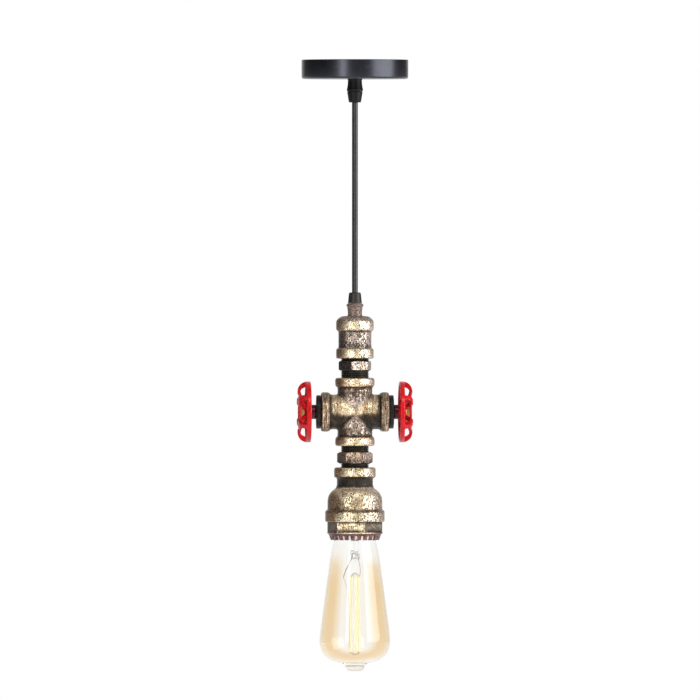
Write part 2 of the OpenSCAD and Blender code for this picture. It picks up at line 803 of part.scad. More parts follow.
module lower_nipple() color(c_dark) {
    nipple(cross_bottom_z, lower_thread_h, lower_hex_h, lower_neck_h, lower_hex_af, lower_hex_turn,
        true, false);
}

// Both arms of the cross lie on one axis, drawn upright and then turned
module cross_arms() {
    band_r = cross_r + band_proud;
    e = cross_fillet_r;
    turned(concat(
        [[0, cross_half]],
        band_side(band_r, cross_half, cross_half - cross_band_h, cross_band_round),
        arc(cross_r + e, cross_half - cross_band_h - e, e, 90, 180, 4),
        arc(cross_r + e, -cross_half + cross_band_h + e, e, 180, 270, 4),
        band_side(band_r, -cross_half + cross_band_h, -cross_half, cross_band_round),
        [[0, -cross_half]]));
}

module cross_bores() {
    socket_floor = cross_half - socket_depth;
    turned([[0, -cross_half - overrun], [socket_r, -cross_half - overrun], [socket_r, -socket_floor],
        [passage_r, -socket_floor], [passage_r, socket_floor], [socket_r, socket_floor],
        [socket_r, cross_half + overrun], [0, cross_half + overrun]]);
}

module pipe_cross() color(c_gold) {
    translate([0, 0, cross_z]) difference() {
        union() {
            cross_arms();
            rotate([0, 90, 0]) cross_arms();
            sphere(r = cross_r + fillet_r);
        }
        cross_bores();
        rotate([0, 90, 0]) cross_bores();
    }
}

// What lies on the cross's side arms is drawn along +Z from the cross's middle
module right_side() {
    translate([0, 0, cross_z]) rotate([0, 90, 0]) children();
}

module left_side() {
    translate([0, 0, cross_z]) rotate([0, -90, 0]) children();
}

module side_plug() {
    face = cross_half + plug_head_h;
    plug_r = plug_d / 2;
    inner = cross_half - plug_thread_l;
    turned([[plug_bore_r, inner], [thread_r, inner], [thread_r, cross_half], [plug_r, cross_half],
        [plug_r, face - plug_round], [plug_r - plug_round, face], [plug_bore_r, face]]);
}

module left_plug() color(c_black) left_side() side_plug();
module right_plug() color(c_black) right_side() side_plug();

module bell_reducer() color(c_gold) {
    z1 = bell_top_z;
    z0 = bell_bottom_z;
    band_r = bell_neck_r + bell_band_proud;
    rim_r = bell_r + band_proud;
    neck_top = z1 - bell_band_h;
    dome_top = neck_top - bell_neck_h;
    dome_low = dome_top - bell_dome_h;
    dome_w = bell_r - bell_neck_r;
    socket_floor = z1 - socket_depth;
    thread_top = z0 + bush_thread_l + seat_gap;
    cavity_w = bell_cavity_r - bell_cavity_top_r;
    cavity_top = bell_cavity_z;
    difference() {
        turned(concat(
            [[socket_r, z1]],
            band_side(band_r, z1, neck_top, band_round),
            arc(bell_neck_r + fillet_r, neck_top - fillet_r, fillet_r, 90, 180, 4),
            [for (k = [0:arc_steps]) [bell_neck_r + dome_w * sin(90 * k / arc_steps),
                dome_low + bell_dome_h * cos(90 * k / arc_steps)]],
            arc(bell_r + fillet_r, z0 + bell_rim_h + fillet_r, fillet_r, 180, 270, 4),
            band_side(rim_r, z0 + bell_rim_h, z0, band_round),
            [[bush_thread_r + thread_gap, z0], [bush_thread_r + thread_gap, thread_top],
                [bell_cavity_r, thread_top]],
            [for (k = [0:arc_steps]) [bell_cavity_top_r + cavity_w * cos(90 * k / arc_steps),
                cavity_top - bell_dome_h + bell_dome_h * sin(90 * k / arc_steps)]],
            [[passage_r, cavity_top], [passage_r, socket_floor], [socket_r, socket_floor]]));
        translate([0, bell_screw_y, cavity_top]) {
            translate([0, 0, -overrun])
                cylinder(d = bell_screw_d + 2 * seat_gap, h = bell_screw_l + overrun);
            translate([0, 0, -bell_dome_h / 2])
                cylinder(d = bell_screw_head_d + 4 * seat_gap, h = bell_dome_h / 2);
        }
    }
}

module hex_bush() color(c_gold) {
    hex_low = bell_bottom_z - bush_hex_h;
    difference() {
        union() {
            disc(bush_thread_r, bell_bottom_z, bell_bottom_z + bush_thread_l);
            translate([0, 0, hex_low]) hexagon(bush_af, bush_hex_h, hex_chamfer, bush_hex_turn);
            disc(bush_flange_d / 2, bush_bottom_z, hex_low);
            disc((bush_bore_r + bush_af / 2) / 2, bush_bottom_z, bell_bottom_z + bush_thread_l);
        }
        translate([0, 0, bush_bottom_z - overrun])
            cylinder(r = bush_bore_r, h = bush_thread_l + bush_hex_h + bush_flange_h + 2 * overrun);
    }
}

module retaining_ring() color(c_bronze) {
    z1 = bush_bottom_z;
    z0 = ring_bottom_z;
    notch_z = z0 + ring_notch_h;
    difference() {
        turned([[ring_low_r, z0], [ring_top_r, z1], [bush_bore_r - thread_gap, z1],
            [bush_bore_r - thread_gap, z1 + sleeve_l], [holder_r + seat_gap, z1 + sleeve_l],
            [holder_r + seat_gap, z1], [ring_lip_r, z1], [ring_lip_r, z1 - ring_lip_h],
            [ring_bore_r, z1 - ring_lip_h], [ring_bore_r, z0]]);
        for (k = [0:ring_notches - 1]) rotate([0, 0, 360 * k / ring_notches])
            translate([ring_bore_r - overrun, -ring_notch_w / 2, z0 - overrun])
                cube([ring_top_r - ring_bore_r + 2 * overrun, ring_notch_w, ring_notch_h + overrun]);
    }
}

// Lampholder

module lampholder_body() color("#efece4") {
    skirt_top = bush_bottom_z + holder_skirt_h;
    difference() {
        turned([[0, bush_bottom_z], [holder_r, bush_bottom_z], [holder_r, skirt_top - holder_edge],
            [holder_r - holder_edge, skirt_top], [holder_boss_r, skirt_top],
            [holder_boss_r, holder_top_z - holder_edge], [holder_boss_r - holder_edge, holder_top_z],
            [0, holder_top_z]]);
        disc(holder_bore_r, bush_bottom_z - overrun, holder_floor_z);
        disc(holder_mouth_r, bush_bottom_z - overrun, cap_rim_z + shell_rim_gap);
        for (side = [-1, 1]) translate([side * holder_screw_x, 0, holder_top_z - holder_screw_l - seat_gap])
            cylinder(d = holder_screw_d + 2 * seat_gap, h = holder_screw_l + overrun);
    }
}

module screw_shell() color(c_brass) {
    low = cap_rim_z + shell_rim_gap;
    top = holder_floor_z;
    r = shell_out_r;
    difference() {
        turned(concat(
            [[r - shell_wall, low], [r, low], [r, top], [0, top], [0, top - shell_wall],
                [r - shell_wall, top - shell_wall]]));
        disc(contact_r + 2 * shell_wall + seat_gap, top - shell_wall - overrun, top + overrun);
    }
}

// The centre contact: a foot on the holder's floor and a bowed leaf down to the bulb's tip
module centre_contact() color(c_brass) {
    translate([0, 0, tip_z]) cylinder(r = contact_r - contact_leaf_t, h = contact_leaf_t);
    translate([0, 0, tip_z]) cylinder(r = contact_r / 2, h = contact_h);
}

module shell_contact() color(c_brass) {
    r = shell_in_r - seat_gap;
    low = holder_floor_z - shell_wall - contact_leaf_t;
    intersection() {
        tube(r, contact_r + 2 * shell_wall + seat_gap + contact_leaf_t, low, low + contact_leaf_t);
        translate([0, -contact_r / 2, low - overrun]) cube([r, contact_r, contact_leaf_t + 2 * overrun]);
    }
}

module lampholder_screws() color(c_brass) {
    for (side = [-1, 1]) translate([side * holder_screw_x, 0, holder_top_z]) mirror([0, 0, 1])
        slotted_screw(holder_screw_d, holder_screw_head_d, holder_screw_head_h, holder_screw_l,
            holder_screw_slot_w, holder_screw_slot_w);
}

module bell_earth_screw() color(c_brass) {
    translate([0, bell_screw_y, bell_cavity_z - core_room])
        slotted_screw(bell_screw_d, bell_screw_head_d, bell_screw_head_h,
            core_room + bell_screw_l - seat_gap, holder_screw_slot_w, holder_screw_slot_w);
}

// Cores through the pipes, on routes chosen by hand
lamp_core_z = coupling_top_z - gland_tail_l;
on_holder_z = holder_top_z + core_room / 2;
on_bell_z = bell_cavity_z - core_room / 2;
live_in_lamp = [[1.2, -0.7, on_holder_z + 16], [3, -1.2, on_holder_z + 8], [5.4, -0.6, on_holder_z + 1],
    [holder_screw_x - holder_screw_head_d / 2 - seat_gap, 0, on_holder_z]];
neutral_in_lamp = [for (p = live_in_lamp) [-p[0], p[1], p[2]]];
earth_in_lamp = [[0, 1.4, on_bell_z + 12], [0, 3.4, on_bell_z + 6], [0, 6.4, on_bell_z + 0.6],
    [0, 8, on_bell_z], [0, bell_screw_y - bell_screw_d / 2 - seat_gap, on_bell_z]];

module lamp_core(route) {
    start = [route[0][0], route[0][1], lamp_core_z];
    bent_core(start, concat([start - [0, 0, core_r]], route));
}

module lamp_live_core() color("#6b4226") lamp_core(live_in_lamp);
module lamp_neutral_core() color("#2f5ea8") lamp_core(neutral_in_lamp);
module lamp_earth_core() color("#5f9a3a") lamp_core(earth_in_lamp);

// Hand wheels and spindles, drawn along +Z from the cross's middle

module spindle() {
    clip_top = cross_half - plug_thread_l - clip_gap;
    clip_low = clip_top - clip_t - clip_gap;
    hub_back = cross_half + plug_head_h + hub_gap;
    square_end = wheel_back_x + hub_front - square_gap;
    r = spindle_d / 2;
    turned([[0, clip_low - spindle_tip_l], [r, clip_low - spindle_tip_l], [r, clip_low],
        [spindle_groove_r, clip_low], [spindle_groove_r, clip_top], [r, clip_top], [r, hub_back],
        [stud_d / 2, hub_back], [stud_d / 2, square_end + stud_l], [0, square_end + stud_l]]);
    translate([-spindle_square_w / 2, -spindle_square_w / 2, hub_back])
        cube([spindle_square_w, spindle_square_w, square_end - hub_back]);
}

module spindle_clip() {
    clip_top = cross_half - plug_thread_l - clip_gap;
    difference() {
        tube(clip_r, spindle_groove_r + clip_gap, clip_top - clip_t, clip_top);
        translate([0, -spindle_groove_r, clip_top - clip_t - overrun])
            cube([clip_r + overrun, 2 * spindle_groove_r, clip_t + 2 * overrun]);
    }
}

// One spoke: a bowed arm from the skirt over the front ring down to the hub
module wheel_spoke() {
    cr = wheel_r - spoke_inset - wheel_arch_r;
    cz = wheel_depth - wheel_arch_r;
    window_r = wheel_arch_r - wheel_arch_root;
    window_h = wheel_arch_r - wheel_arch_t;
    root = wheel_skirt_w / 4;
    translate([0, wheel_spoke_w / 2, 0]) rotate([90, 0, 0]) linear_extrude(wheel_spoke_w) polygon(concat(
        [[wheel_r - wheel_skirt_wall / 2, root], [wheel_r - spoke_inset - hub_round / 2, root]],
        arc(cr, cz, wheel_arch_r, 0, 90),
        [[cr - wheel_elbow_in, wheel_depth], [hub_r - hub_round, hub_front - hub_round],
            [hub_r - hub_round, hub_front - wheel_arch_t - hub_round],
            [cr - wheel_elbow_in, wheel_depth - wheel_arch_t - hub_round]],
        [for (a = [90:-90 / arc_steps:0]) [cr + window_r * cos(a), cz + window_h * sin(a)]]));
}

module handwheel() {
    ring_r = wheel_ring_d / 2;
    ring_front = wheel_depth - wheel_ring_drop;
    hub_back = hub_gap - wheel_standoff;
    e = hub_round;
    translate([0, 0, wheel_back_x]) difference() {
        union() {
            turned([[wheel_r - wheel_skirt_wall, 0], [wheel_r - e, 0], [wheel_r, e],
                [wheel_r, wheel_skirt_w - e], [wheel_r - e, wheel_skirt_w],
                [wheel_r - wheel_skirt_wall, wheel_skirt_w]]);
            turned([[ring_r - wheel_ring_w, ring_front - wheel_ring_t], [ring_r, ring_front - wheel_ring_t],
                [ring_r, ring_front - e], [ring_r - e, ring_front], [ring_r - wheel_ring_w, ring_front]]);
            turned([[0, hub_back], [hub_r - e, hub_back], [hub_r, hub_back + e], [hub_r, hub_front - e],
                [hub_r - e, hub_front], [0, hub_front]]);
            for (k = [0:wheel_spokes - 1]) rotate([0, 0, 360 * k / wheel_spokes]) wheel_spoke();
        }
        translate([-hub_socket_w / 2, -hub_socket_w / 2, hub_back - overrun])
            cube([hub_socket_w, hub_socket_w, hub_front - hub_back + 2 * overrun]);
    }
}

module wheel_washer() {
    front = wheel_back_x + hub_front;
    tube(washer_r, stud_d / 2 + thread_gap, front, front + washer_t);
}

module wheel_nut() {
    front = wheel_back_x + hub_front + washer_t;
    difference() {
        translate([0, 0, front]) hexagon(nut_af, nut_h, hub_round, 0);
        translate([0, 0, front - overrun]) cylinder(r = stud_d / 2 + thread_gap, h = nut_h + 2 * overrun);
    }
}

module left_spindle() color(c_steel) left_side() spindle();
module left_handwheel() color(c_red) left_side() handwheel();
module left_wheel_washer() color(c_brass) left_side() wheel_washer();
module left_wheel_nut() color(c_brass) left_side() wheel_nut();
module left_spindle_clip() color(c_steel) left_side() spindle_clip();
module right_spindle() color(c_steel) right_side() spindle();
module right_handwheel() color(c_red) right_side() handwheel();
module right_wheel_washer() color(c_brass) right_side() wheel_washer();
module right_wheel_nut() color(c_brass) right_side() wheel_nut();
module right_spindle_clip() color(c_steel) right_side() spindle_clip();

// Bulb

module bulb_tip_contact() color("#b9b9b4") {
    turned([[0, tip_z - tip_h], [tip_r, tip_z - tip_h], [tip_r, tip_z - tip_h / 2],
        [tip_r - tip_h / 2, tip_z], [0, tip_z]]);
}

module bulb_cap_insulator() color("#17171a") {
    low = tip_z - insulator_h;
    turned([[0, low], [insulator_foot_r, low], [insulator_foot_r, low + tip_h / 2],
        [insulator_top_r, tip_z - tip_h], [0, tip_z - tip_h]]);
}

module bulb_cap() color(c_brass) {
    crown = tip_z - insulator_h;
    thread_top = crown - cap_crown_l;
    thread_low = cap_rim_z + cap_crown_l;
    count = floor((thread_top - thread_low) / screw_pitch);
    inner_r = cap_r - screw_cut - cap_wall;
    turned(concat(
        [[insulator_foot_r, crown], [cap_r - screw_cut, thread_top]],
        [for (i = [0:count - 1], k = [1:6]) [cap_r - screw_cut / 2 - screw_cut / 2 * cos(60 * k),
            thread_top - (i + k / 6) * screw_pitch]],
        [[cap_r - screw_cut, thread_low], [cap_r, thread_low - screw_cut], [cap_r, cap_rim_z],
            [cap_r - cap_wall, cap_rim_z], [cap_r - cap_wall, thread_low - screw_cut],
            [inner_r, thread_low], [inner_r, thread_top], [insulator_foot_r - cap_wall, crown]]));
}

glass_r = glass_d / 2;
glass_neck_side = [[glass_rim_r, cap_rim_z], [glass_collar_r, cap_rim_z - glass_collar_drop],
    [ring_lip_r - glass_lip_gap, bush_bottom_z - ring_lip_h / 2],
    [ring_bore_r - glass_ring_gap, ring_bottom_z + glass_ring_up]];
glass_body_side = [for (i = [0:len(glass_length_shares) - 1])
    [glass_r * glass_radius_shares[i], cap_rim_z - glass_l * glass_length_shares[i]]];
glass_side = spline(concat(glass_neck_side, glass_body_side), glass_steps);

// The same row of points moved inwards by t
function moved_in(p, t) = [for (i = [0:len(p) - 1]) let (
    d = p[min(i + 1, len(p) - 1)] - p[max(i - 1, 0)]) p[i] + t * [d[1], -d[0]] / norm(d)];

module bulb_glass() color("#e8b878") {
    inside = moved_in(glass_side, glass_wall);
    last = inside[len(inside) - 1];
    turned(concat(
        [[glass_neck_r, cap_rim_z + glass_neck_in], [glass_neck_r, cap_rim_z]],
        glass_side,
        [[nub_top_r, glass_tip_z + nub_h], [nub_low_r, glass_tip_z + nub_round]],
        arc(nub_low_r - nub_round, glass_tip_z + nub_round, nub_round, -15, -90, 5),
        [[0, glass_tip_z], [0, last[1]], last],
        [for (i = [len(inside) - 2:-1:2]) inside[i]],
        [[glass_neck_r - glass_wall, cap_rim_z], [glass_neck_r - glass_wall, cap_rim_z + glass_neck_in]]));
}

module bulb_stem() color("#dfe6e6") {
    tube_low = cap_rim_z - stem_tube_l;
    press_low = tube_low - stem_press_l;
    turned(concat(
        [[0, cap_rim_z + stem_flare_in], [stem_flare_r, cap_rim_z + stem_flare_in]],
        [for (k = [1:arc_steps]) [stem_r + (stem_flare_r - stem_r) * (1 - sin(90 * k / arc_steps)),
            cap_rim_z + stem_flare_in - stem_flare_l * (1 - cos(90 * k / arc_steps))]],
        [[stem_r, tube_low], [0, tube_low]]));
    translate([-stem_press_w / 2, -stem_press_t / 2, press_low])
        cube([stem_press_w, stem_press_t, stem_press_l + stem_press_t]);
    disc(rod_r, cage_low_z - rod_end, press_low + stem_press_t);
}

cage_top_z = cap_rim_z - cage_top_drop;
cage_low_z = cap_rim_z - cage_low_drop;

module support_star(r, z, turn) {
    reach = r - wire_r - filament_r - seat_gap;
    tube(rod_r + 2 * wire_r, rod_r + seat_gap, z - 2 * wire_r, z + 2 * wire_r);
    for (k = [0:filament_strands - 1]) rotate([0, 0, turn + 360 * k / filament_strands])
        rod([rod_r + wire_r, 0, z], [reach, 0, z], wire_r);
}

module bulb_supports() color("#8d8d88") {
    support_star(cage_top_r, cage_top_z, 0);
    support_star(cage_low_r, cage_low_z, 180 / filament_strands);
}

// The filament runs down and up between the hooks of the upper and the lower support
module bulb_filament() color("#ffd98a") {
    n = filament_strands;
    path = [for (k = [0:2 * n - 1], end = [-1, 1]) let (
        low = k % 2, r = low ? cage_low_r : cage_top_r, a = 180 * k / n, turn = end * asin(hook_half_w / r))
        [r * cos(a + turn), r * sin(a + turn), low ? cage_low_z : cage_top_z]];
    swept(path, [for (p = path) filament_r], core_sides);
}

module bent_lead(start, route) {
    path = concat([start], spline(concat([start - [0, 0, lead_r]], route), core_steps));
    swept(path, [for (p = path) lead_r], core_sides);
}

module bulb_leads() color("#9a8f80") {
    press_low = cap_rim_z - stem_tube_l - stem_press_l;
    last_turn = -180 / filament_strands;
    end = [cage_top_r, 0, cage_top_z + filament_r + lead_r + seat_gap];
    far = [cage_low_r * cos(last_turn), cage_low_r * sin(last_turn),
        cage_low_z - filament_r - lead_r - seat_gap];
    pinch = stem_press_w / 4;
    bend_z = press_low - stem_press_l / 2;
    bent_lead([pinch, 0, press_low], [[lead_out_x / 2, 0, bend_z],
        [lead_out_x, 0, cap_rim_z - lead_out_drop], end]);
    bent_lead([-pinch, 0, press_low], [[-lead_out_x / 2, 0, bend_z],
        [-lead_out_x, 0, cap_rim_z - lead_out_drop], [-lead_out_x, 0, far[2] + lead_out_x],
        [-rod_end, -cage_low_r / 2, cage_low_z - 2 * rod_end], far]);
}

mounting_strap();
ceiling_canopy();
canopy_set_screws();
terminal_block();
terminal_screws();
strap_screws();
canopy_gland_body();
canopy_gland_nut();
canopy_gland_collet();
canopy_gland_cap();
canopy_cord_tail();
canopy_live_core();
canopy_neutral_core();
canopy_earth_core();
canopy_cord_bush();
hanging_cord();
lamp_gland_body();
lamp_gland_collet();
lamp_gland_cap();
lamp_cord_tail();
top_coupling();
upper_nipple();
pipe_cross();
left_plug();
right_plug();
lower_nipple();
bell_reducer();
hex_bush();
retaining_ring();
lampholder_body();
screw_shell();
centre_contact();
shell_contact();
lampholder_screws();
bell_earth_screw();
lamp_live_core();
lamp_neutral_core();
lamp_earth_core();
left_spindle();
left_handwheel();
left_wheel_washer();
left_wheel_nut();
left_spindle_clip();
right_spindle();
right_handwheel();
right_wheel_washer();
right_wheel_nut();
right_spindle_clip();
bulb_tip_contact();
bulb_cap();
bulb_cap_insulator();
bulb_glass();
bulb_stem();
bulb_leads();
bulb_supports();
bulb_filament();
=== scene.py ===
import math
import bmesh
import bpy
from mathutils import Matrix, Vector


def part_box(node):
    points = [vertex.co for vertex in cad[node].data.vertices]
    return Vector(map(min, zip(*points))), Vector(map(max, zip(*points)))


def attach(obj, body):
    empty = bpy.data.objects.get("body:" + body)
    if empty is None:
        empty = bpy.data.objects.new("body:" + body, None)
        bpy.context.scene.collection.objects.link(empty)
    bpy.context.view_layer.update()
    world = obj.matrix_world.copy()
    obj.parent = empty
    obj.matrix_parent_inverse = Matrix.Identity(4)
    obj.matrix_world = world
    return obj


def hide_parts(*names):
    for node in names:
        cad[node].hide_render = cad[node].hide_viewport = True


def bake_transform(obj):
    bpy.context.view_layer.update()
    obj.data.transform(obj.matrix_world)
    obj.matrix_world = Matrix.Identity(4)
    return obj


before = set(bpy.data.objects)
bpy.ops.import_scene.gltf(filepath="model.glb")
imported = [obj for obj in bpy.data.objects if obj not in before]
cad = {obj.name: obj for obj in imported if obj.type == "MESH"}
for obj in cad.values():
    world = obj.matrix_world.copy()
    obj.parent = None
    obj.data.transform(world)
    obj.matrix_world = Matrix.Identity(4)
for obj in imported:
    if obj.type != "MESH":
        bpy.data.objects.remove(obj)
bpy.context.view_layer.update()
mm = 0.001


def sceneObject(name, data):
    made = bpy.data.objects.new(name, data)
    bpy.context.scene.collection.objects.link(made)
    return made


def sightDirection(azimuth, elevation):
    a, e = math.radians(azimuth), math.radians(elevation)
    return Vector((math.sin(a) * math.cos(e), -math.cos(a) * math.cos(e), math.sin(e)))


def standBack(made, target, side, distance):
    made.location = target + side * distance
    made.rotation_mode = "QUATERNION"
    made.rotation_quaternion = (-side).to_track_quat("-Z", "Y")


# Camera, at the photograph's angle

cameraSetup = {"azimuth": -2.5, "elevation": 0.3, "distance": 16.0, "photoWidthMm": 656.0, "centreX": -4.6,
               "centreZ": -272.0, "sensor": 36.0, "clip": (0.1, 60.0)}


def makeCamera(setup):
    data = bpy.data.cameras.new("camera")
    camera = sceneObject("camera", data)
    side = sightDirection(setup["azimuth"], setup["elevation"])
    right = Vector((-side.y, side.x, 0)).normalized()
    target = right * setup["centreX"] * mm + Vector((0, 0, setup["centreZ"] * mm))
    standBack(camera, target, side, setup["distance"])
    data.sensor_width = setup["sensor"]
    data.lens = data.sensor_width * setup["distance"] / (setup["photoWidthMm"] * mm)
    data.clip_start, data.clip_end = setup["clip"]
    bpy.context.scene.camera = camera


makeCamera(cameraSetup)
print("camera made")


# Shader node helpers

def addNode(tree, kind, values=None, **settings):
    made = tree.nodes.new(kind)
    for key, value in settings.items():
        setattr(made, key, value)
    for key, value in (values or {}).items():
        if isinstance(value, bpy.types.NodeSocket):
            tree.links.new(value, made.inputs[key])
        else:
            made.inputs[key].default_value = value
    return made


def mathNode(tree, operation, a, b=0.0, c=0.0, clamp=False):
    return addNode(tree, "ShaderNodeMath", {0: a, 1: b, 2: c}, operation=operation, use_clamp=clamp).outputs[0]


def mapRange(tree, value, low, high, toLow=0.0, toHigh=1.0, smooth=False):
    return addNode(tree, "ShaderNodeMapRange", {"Value": value, "From Min": low, "From Max": high, "To Min": toLow,
                   "To Max": toHigh}, interpolation_type="SMOOTHSTEP" if smooth else "LINEAR").outputs["Result"]


def noiseNode(tree, vector, scale, detail=2.0, roughness=0.5):
    return addNode(tree, "ShaderNodeTexNoise", {"Vector": vector, "Scale": scale, "Detail": detail,
                   "Roughness": roughness}).outputs["Fac"]


def axisOf(tree, vector, axis):
    return addNode(tree, "ShaderNodeSeparateXYZ", {0: vector}).outputs[axis]


def openSpace(tree, reach):
    return addNode(tree, "ShaderNodeAmbientOcclusion", {"Distance": reach * mm}, samples=8).outputs["AO"]


def mixColour(tree, share, first, second):
    made = tree.nodes.new("ShaderNodeMix")
    made.data_type = "RGBA"
    for socket, value in ((made.inputs[0], share), (made.inputs[6], first), (made.inputs[7], second)):
        if isinstance(value, bpy.types.NodeSocket):
            tree.links.new(value, socket)
        elif isinstance(value, (int, float)):
            socket.default_value = value
        else:
            socket.default_value = (*value[:3], 1.0)
    return made.outputs[2]


def ramp(tree, value, stops, mode="LINEAR"):
    made = addNode(tree, "ShaderNodeValToRGB", {"Fac": value})
    made.color_ramp.interpolation = mode
    elements = made.color_ramp.elements
    while len(elements) < len(stops):
        elements.new(1.0)
    for element, (place, level) in zip(elements, stops):
        element.position = place
        element.color = (level, level, level, 1.0)
    return made.outputs["Color"]


# Shared node groups: patches of wear, the skin of cast iron, and the places on the cross

def newGroup(name, inputs, outputs):
    group = bpy.data.node_groups.new(name, "ShaderNodeTree")
    for label, value in inputs.items():
        kind = "NodeSocketVector" if value is None else "NodeSocketFloat"
        socket = group.interface.new_socket(name=label, in_out="INPUT", socket_type=kind)
        if value is not None:
            socket.default_value = value
    for label in outputs:
        group.interface.new_socket(name=label, in_out="OUTPUT", socket_type="NodeSocketFloat")
    return group, group.nodes.new("NodeGroupInput").outputs, group.nodes.new("NodeGroupOutput").inputs


def makeBlotchGroup():
    group, given, result = newGroup("blotches", {"Vector": None, "Scale": 200.0, "Detail": 5.0, "Roughness": 0.6,
                                                 "Coverage": 0.5, "Softness": 0.08}, ["Mask"])
    grain = noiseNode(group, given["Vector"], given["Scale"], given["Detail"], given["Roughness"])
    level = mathNode(group, "MULTIPLY_ADD", given["Coverage"], -0.6, 0.8)   # noise values lie in 0.2 to 0.8
    low = mathNode(group, "SUBTRACT", level, given["Softness"])
    high = mathNode(group, "ADD", level, given["Softness"])
    group.links.new(mapRange(group, grain, low, high, smooth=True), result["Mask"])
    return group


def makeCastGroup():
    group, given, result = newGroup("castSkin", {"Vector": None, "Scale": 400.0, "Pitting": 0.5}, ["Height"])
    grain = noiseNode(group, given["Vector"], given["Scale"], 6.0, 0.62)
    coarse = mathNode(group, "MULTIPLY", given["Scale"], 0.35)
    pits = addNode(group, "ShaderNodeTexVoronoi", {"Vector": given["Vector"], "Scale": coarse}, feature="SMOOTH_F1")
    hollow = mathNode(group, "MULTIPLY", pits.outputs["Distance"], given["Pitting"])
    group.links.new(mathNode(group, "ADD", grain, hollow), result["Height"])
    return group


armEdge = {"crease": 2.6, "creaseFrom": (3, 9), "sideFrom": (-5, 1.5)}


def makeArmGroup(setup, centreZ):
    group, given, result = newGroup("crossArm", {"Vector": None}, ["Reach", "Side Arm", "Rise", "Crease"])
    parts = addNode(group, "ShaderNodeSeparateXYZ", {0: given["Vector"]}).outputs
    across = mathNode(group, "ABSOLUTE", parts["X"])
    rise = mathNode(group, "SUBTRACT", parts["Z"], centreZ)
    upward = mathNode(group, "ABSOLUTE", rise)
    reach = mathNode(group, "MAXIMUM", across, upward)
    offDiagonal = mathNode(group, "SUBTRACT", across, upward)
    crease = mapRange(group, mathNode(group, "ABSOLUTE", offDiagonal), 0.0, setup["crease"] * mm, 1.0, 0.0, True)
    outward = mapRange(group, reach, *(edge * mm for edge in setup["creaseFrom"]))
    sideways = mapRange(group, offDiagonal, *(edge * mm for edge in setup["sideFrom"]), smooth=True)
    group.links.new(reach, result["Reach"])
    group.links.new(sideways, result["Side Arm"])
    group.links.new(rise, result["Rise"])
    group.links.new(mathNode(group, "MULTIPLY", crease, outward), result["Crease"])
    return group


crossCentre = (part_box("pipe_cross")[0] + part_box("pipe_cross")[1]) / 2
blotches = makeBlotchGroup()
castSkin = makeCastGroup()
crossArm = makeArmGroup(armEdge, crossCentre.z)


def blotchMask(tree, vector, scale, coverage, softness=0.08, detail=5.0, roughness=0.6):
    return addNode(tree, "ShaderNodeGroup", {"Vector": vector, "Scale": scale, "Coverage": coverage,
                   "Softness": softness, "Detail": detail, "Roughness": roughness}, node_tree=blotches).outputs["Mask"]


def castHeight(tree, vector, scale, pitting):
    return addNode(tree, "ShaderNodeGroup", {"Vector": vector, "Scale": scale, "Pitting": pitting},
                   node_tree=castSkin).outputs["Height"]


def startMaterial(name, values):
    material = bpy.data.materials.new(name)
    material.use_nodes = True
    tree = material.node_tree
    shader = tree.nodes["Principled BSDF"]
    for label, value in values.items():
        shader.inputs[label].default_value = (*value, 1.0) if isinstance(value, tuple) else value
    return material, tree, shader


def placedVector(tree, stretch=(1, 1, 1), shift=(0, 0, 0)):
    coords = tree.nodes.new("ShaderNodeTexCoord").outputs["Object"]
    return addNode(tree, "ShaderNodeMapping", {"Vector": coords, "Scale": stretch,
                   "Location": shift}).outputs["Vector"]


def addBump(tree, shader, height, depthMm, strength):
    bump = addNode(tree, "ShaderNodeBump", {"Height": height, "Distance": depthMm * mm, "Strength": strength})
    tree.links.new(bump.outputs["Normal"], shader.inputs["Normal"])


# Finish of the pipe fittings: black iron, dry-brushed with antique gold and worn through again.
# The stops say how much paint is left at each height, or at each distance from the cross's centre.

# The side colours and shares below are painted light and shade: faces turned to +X take the right-side colour, and
# faces turned to -X take the dark left-side colour and lose some paint.
ironLook = {"iron": (0.014, 0.013, 0.009), "bronze": (0.165, 0.10, 0.055), "gold": (0.75, 0.54, 0.28),
            "cream": (1.0, 0.88, 0.63), "rust": (0.11, 0.042, 0.025), "ash": (0.60, 0.49, 0.44), "ashen": 0.2,
            "leftSide": (0.105, 0.035, 0.032), "leftFrom": -0.45, "leftShare": 0.7, "leftWorn": -0.14,
            "pink": (0.92, 0.77, 0.72), "rightShare": 0.45, "rightFrom": (0.2, 0.7), "pitted": 0.34, "fine": 620.0,
            "streak": (1, 1, 0.55), "ringwise": (2.1, 0.1, 0.1), "gloss": 0.5, "sheen": (0.5, 0.44, 0.4),
            "dull": 0.32, "grimeMm": 3.6, "grimeFrom": (0.62, 1.0), "bumpMm": 0.34}
armLook = {"rise": (-6, 1), "riseWear": (-0.26, 0.3), "across": (-8, 10), "acrossWear": (0.12, -0.06),
           "band": (21, 24), "bandWear": -0.24, "upDown": 0.07, "crease": -0.12}


def armZones(tree, arm):
    inner = mapRange(tree, arm["Reach"], *(edge * mm for edge in armLook["band"]), 1.0, 0.0)
    sideways = mathNode(tree, "MULTIPLY", arm["Side Arm"], inner)
    upDown = mathNode(tree, "SUBTRACT", inner, sideways)
    bands = mathNode(tree, "SUBTRACT", arm["Side Arm"], sideways)
    return sideways, upDown, bands


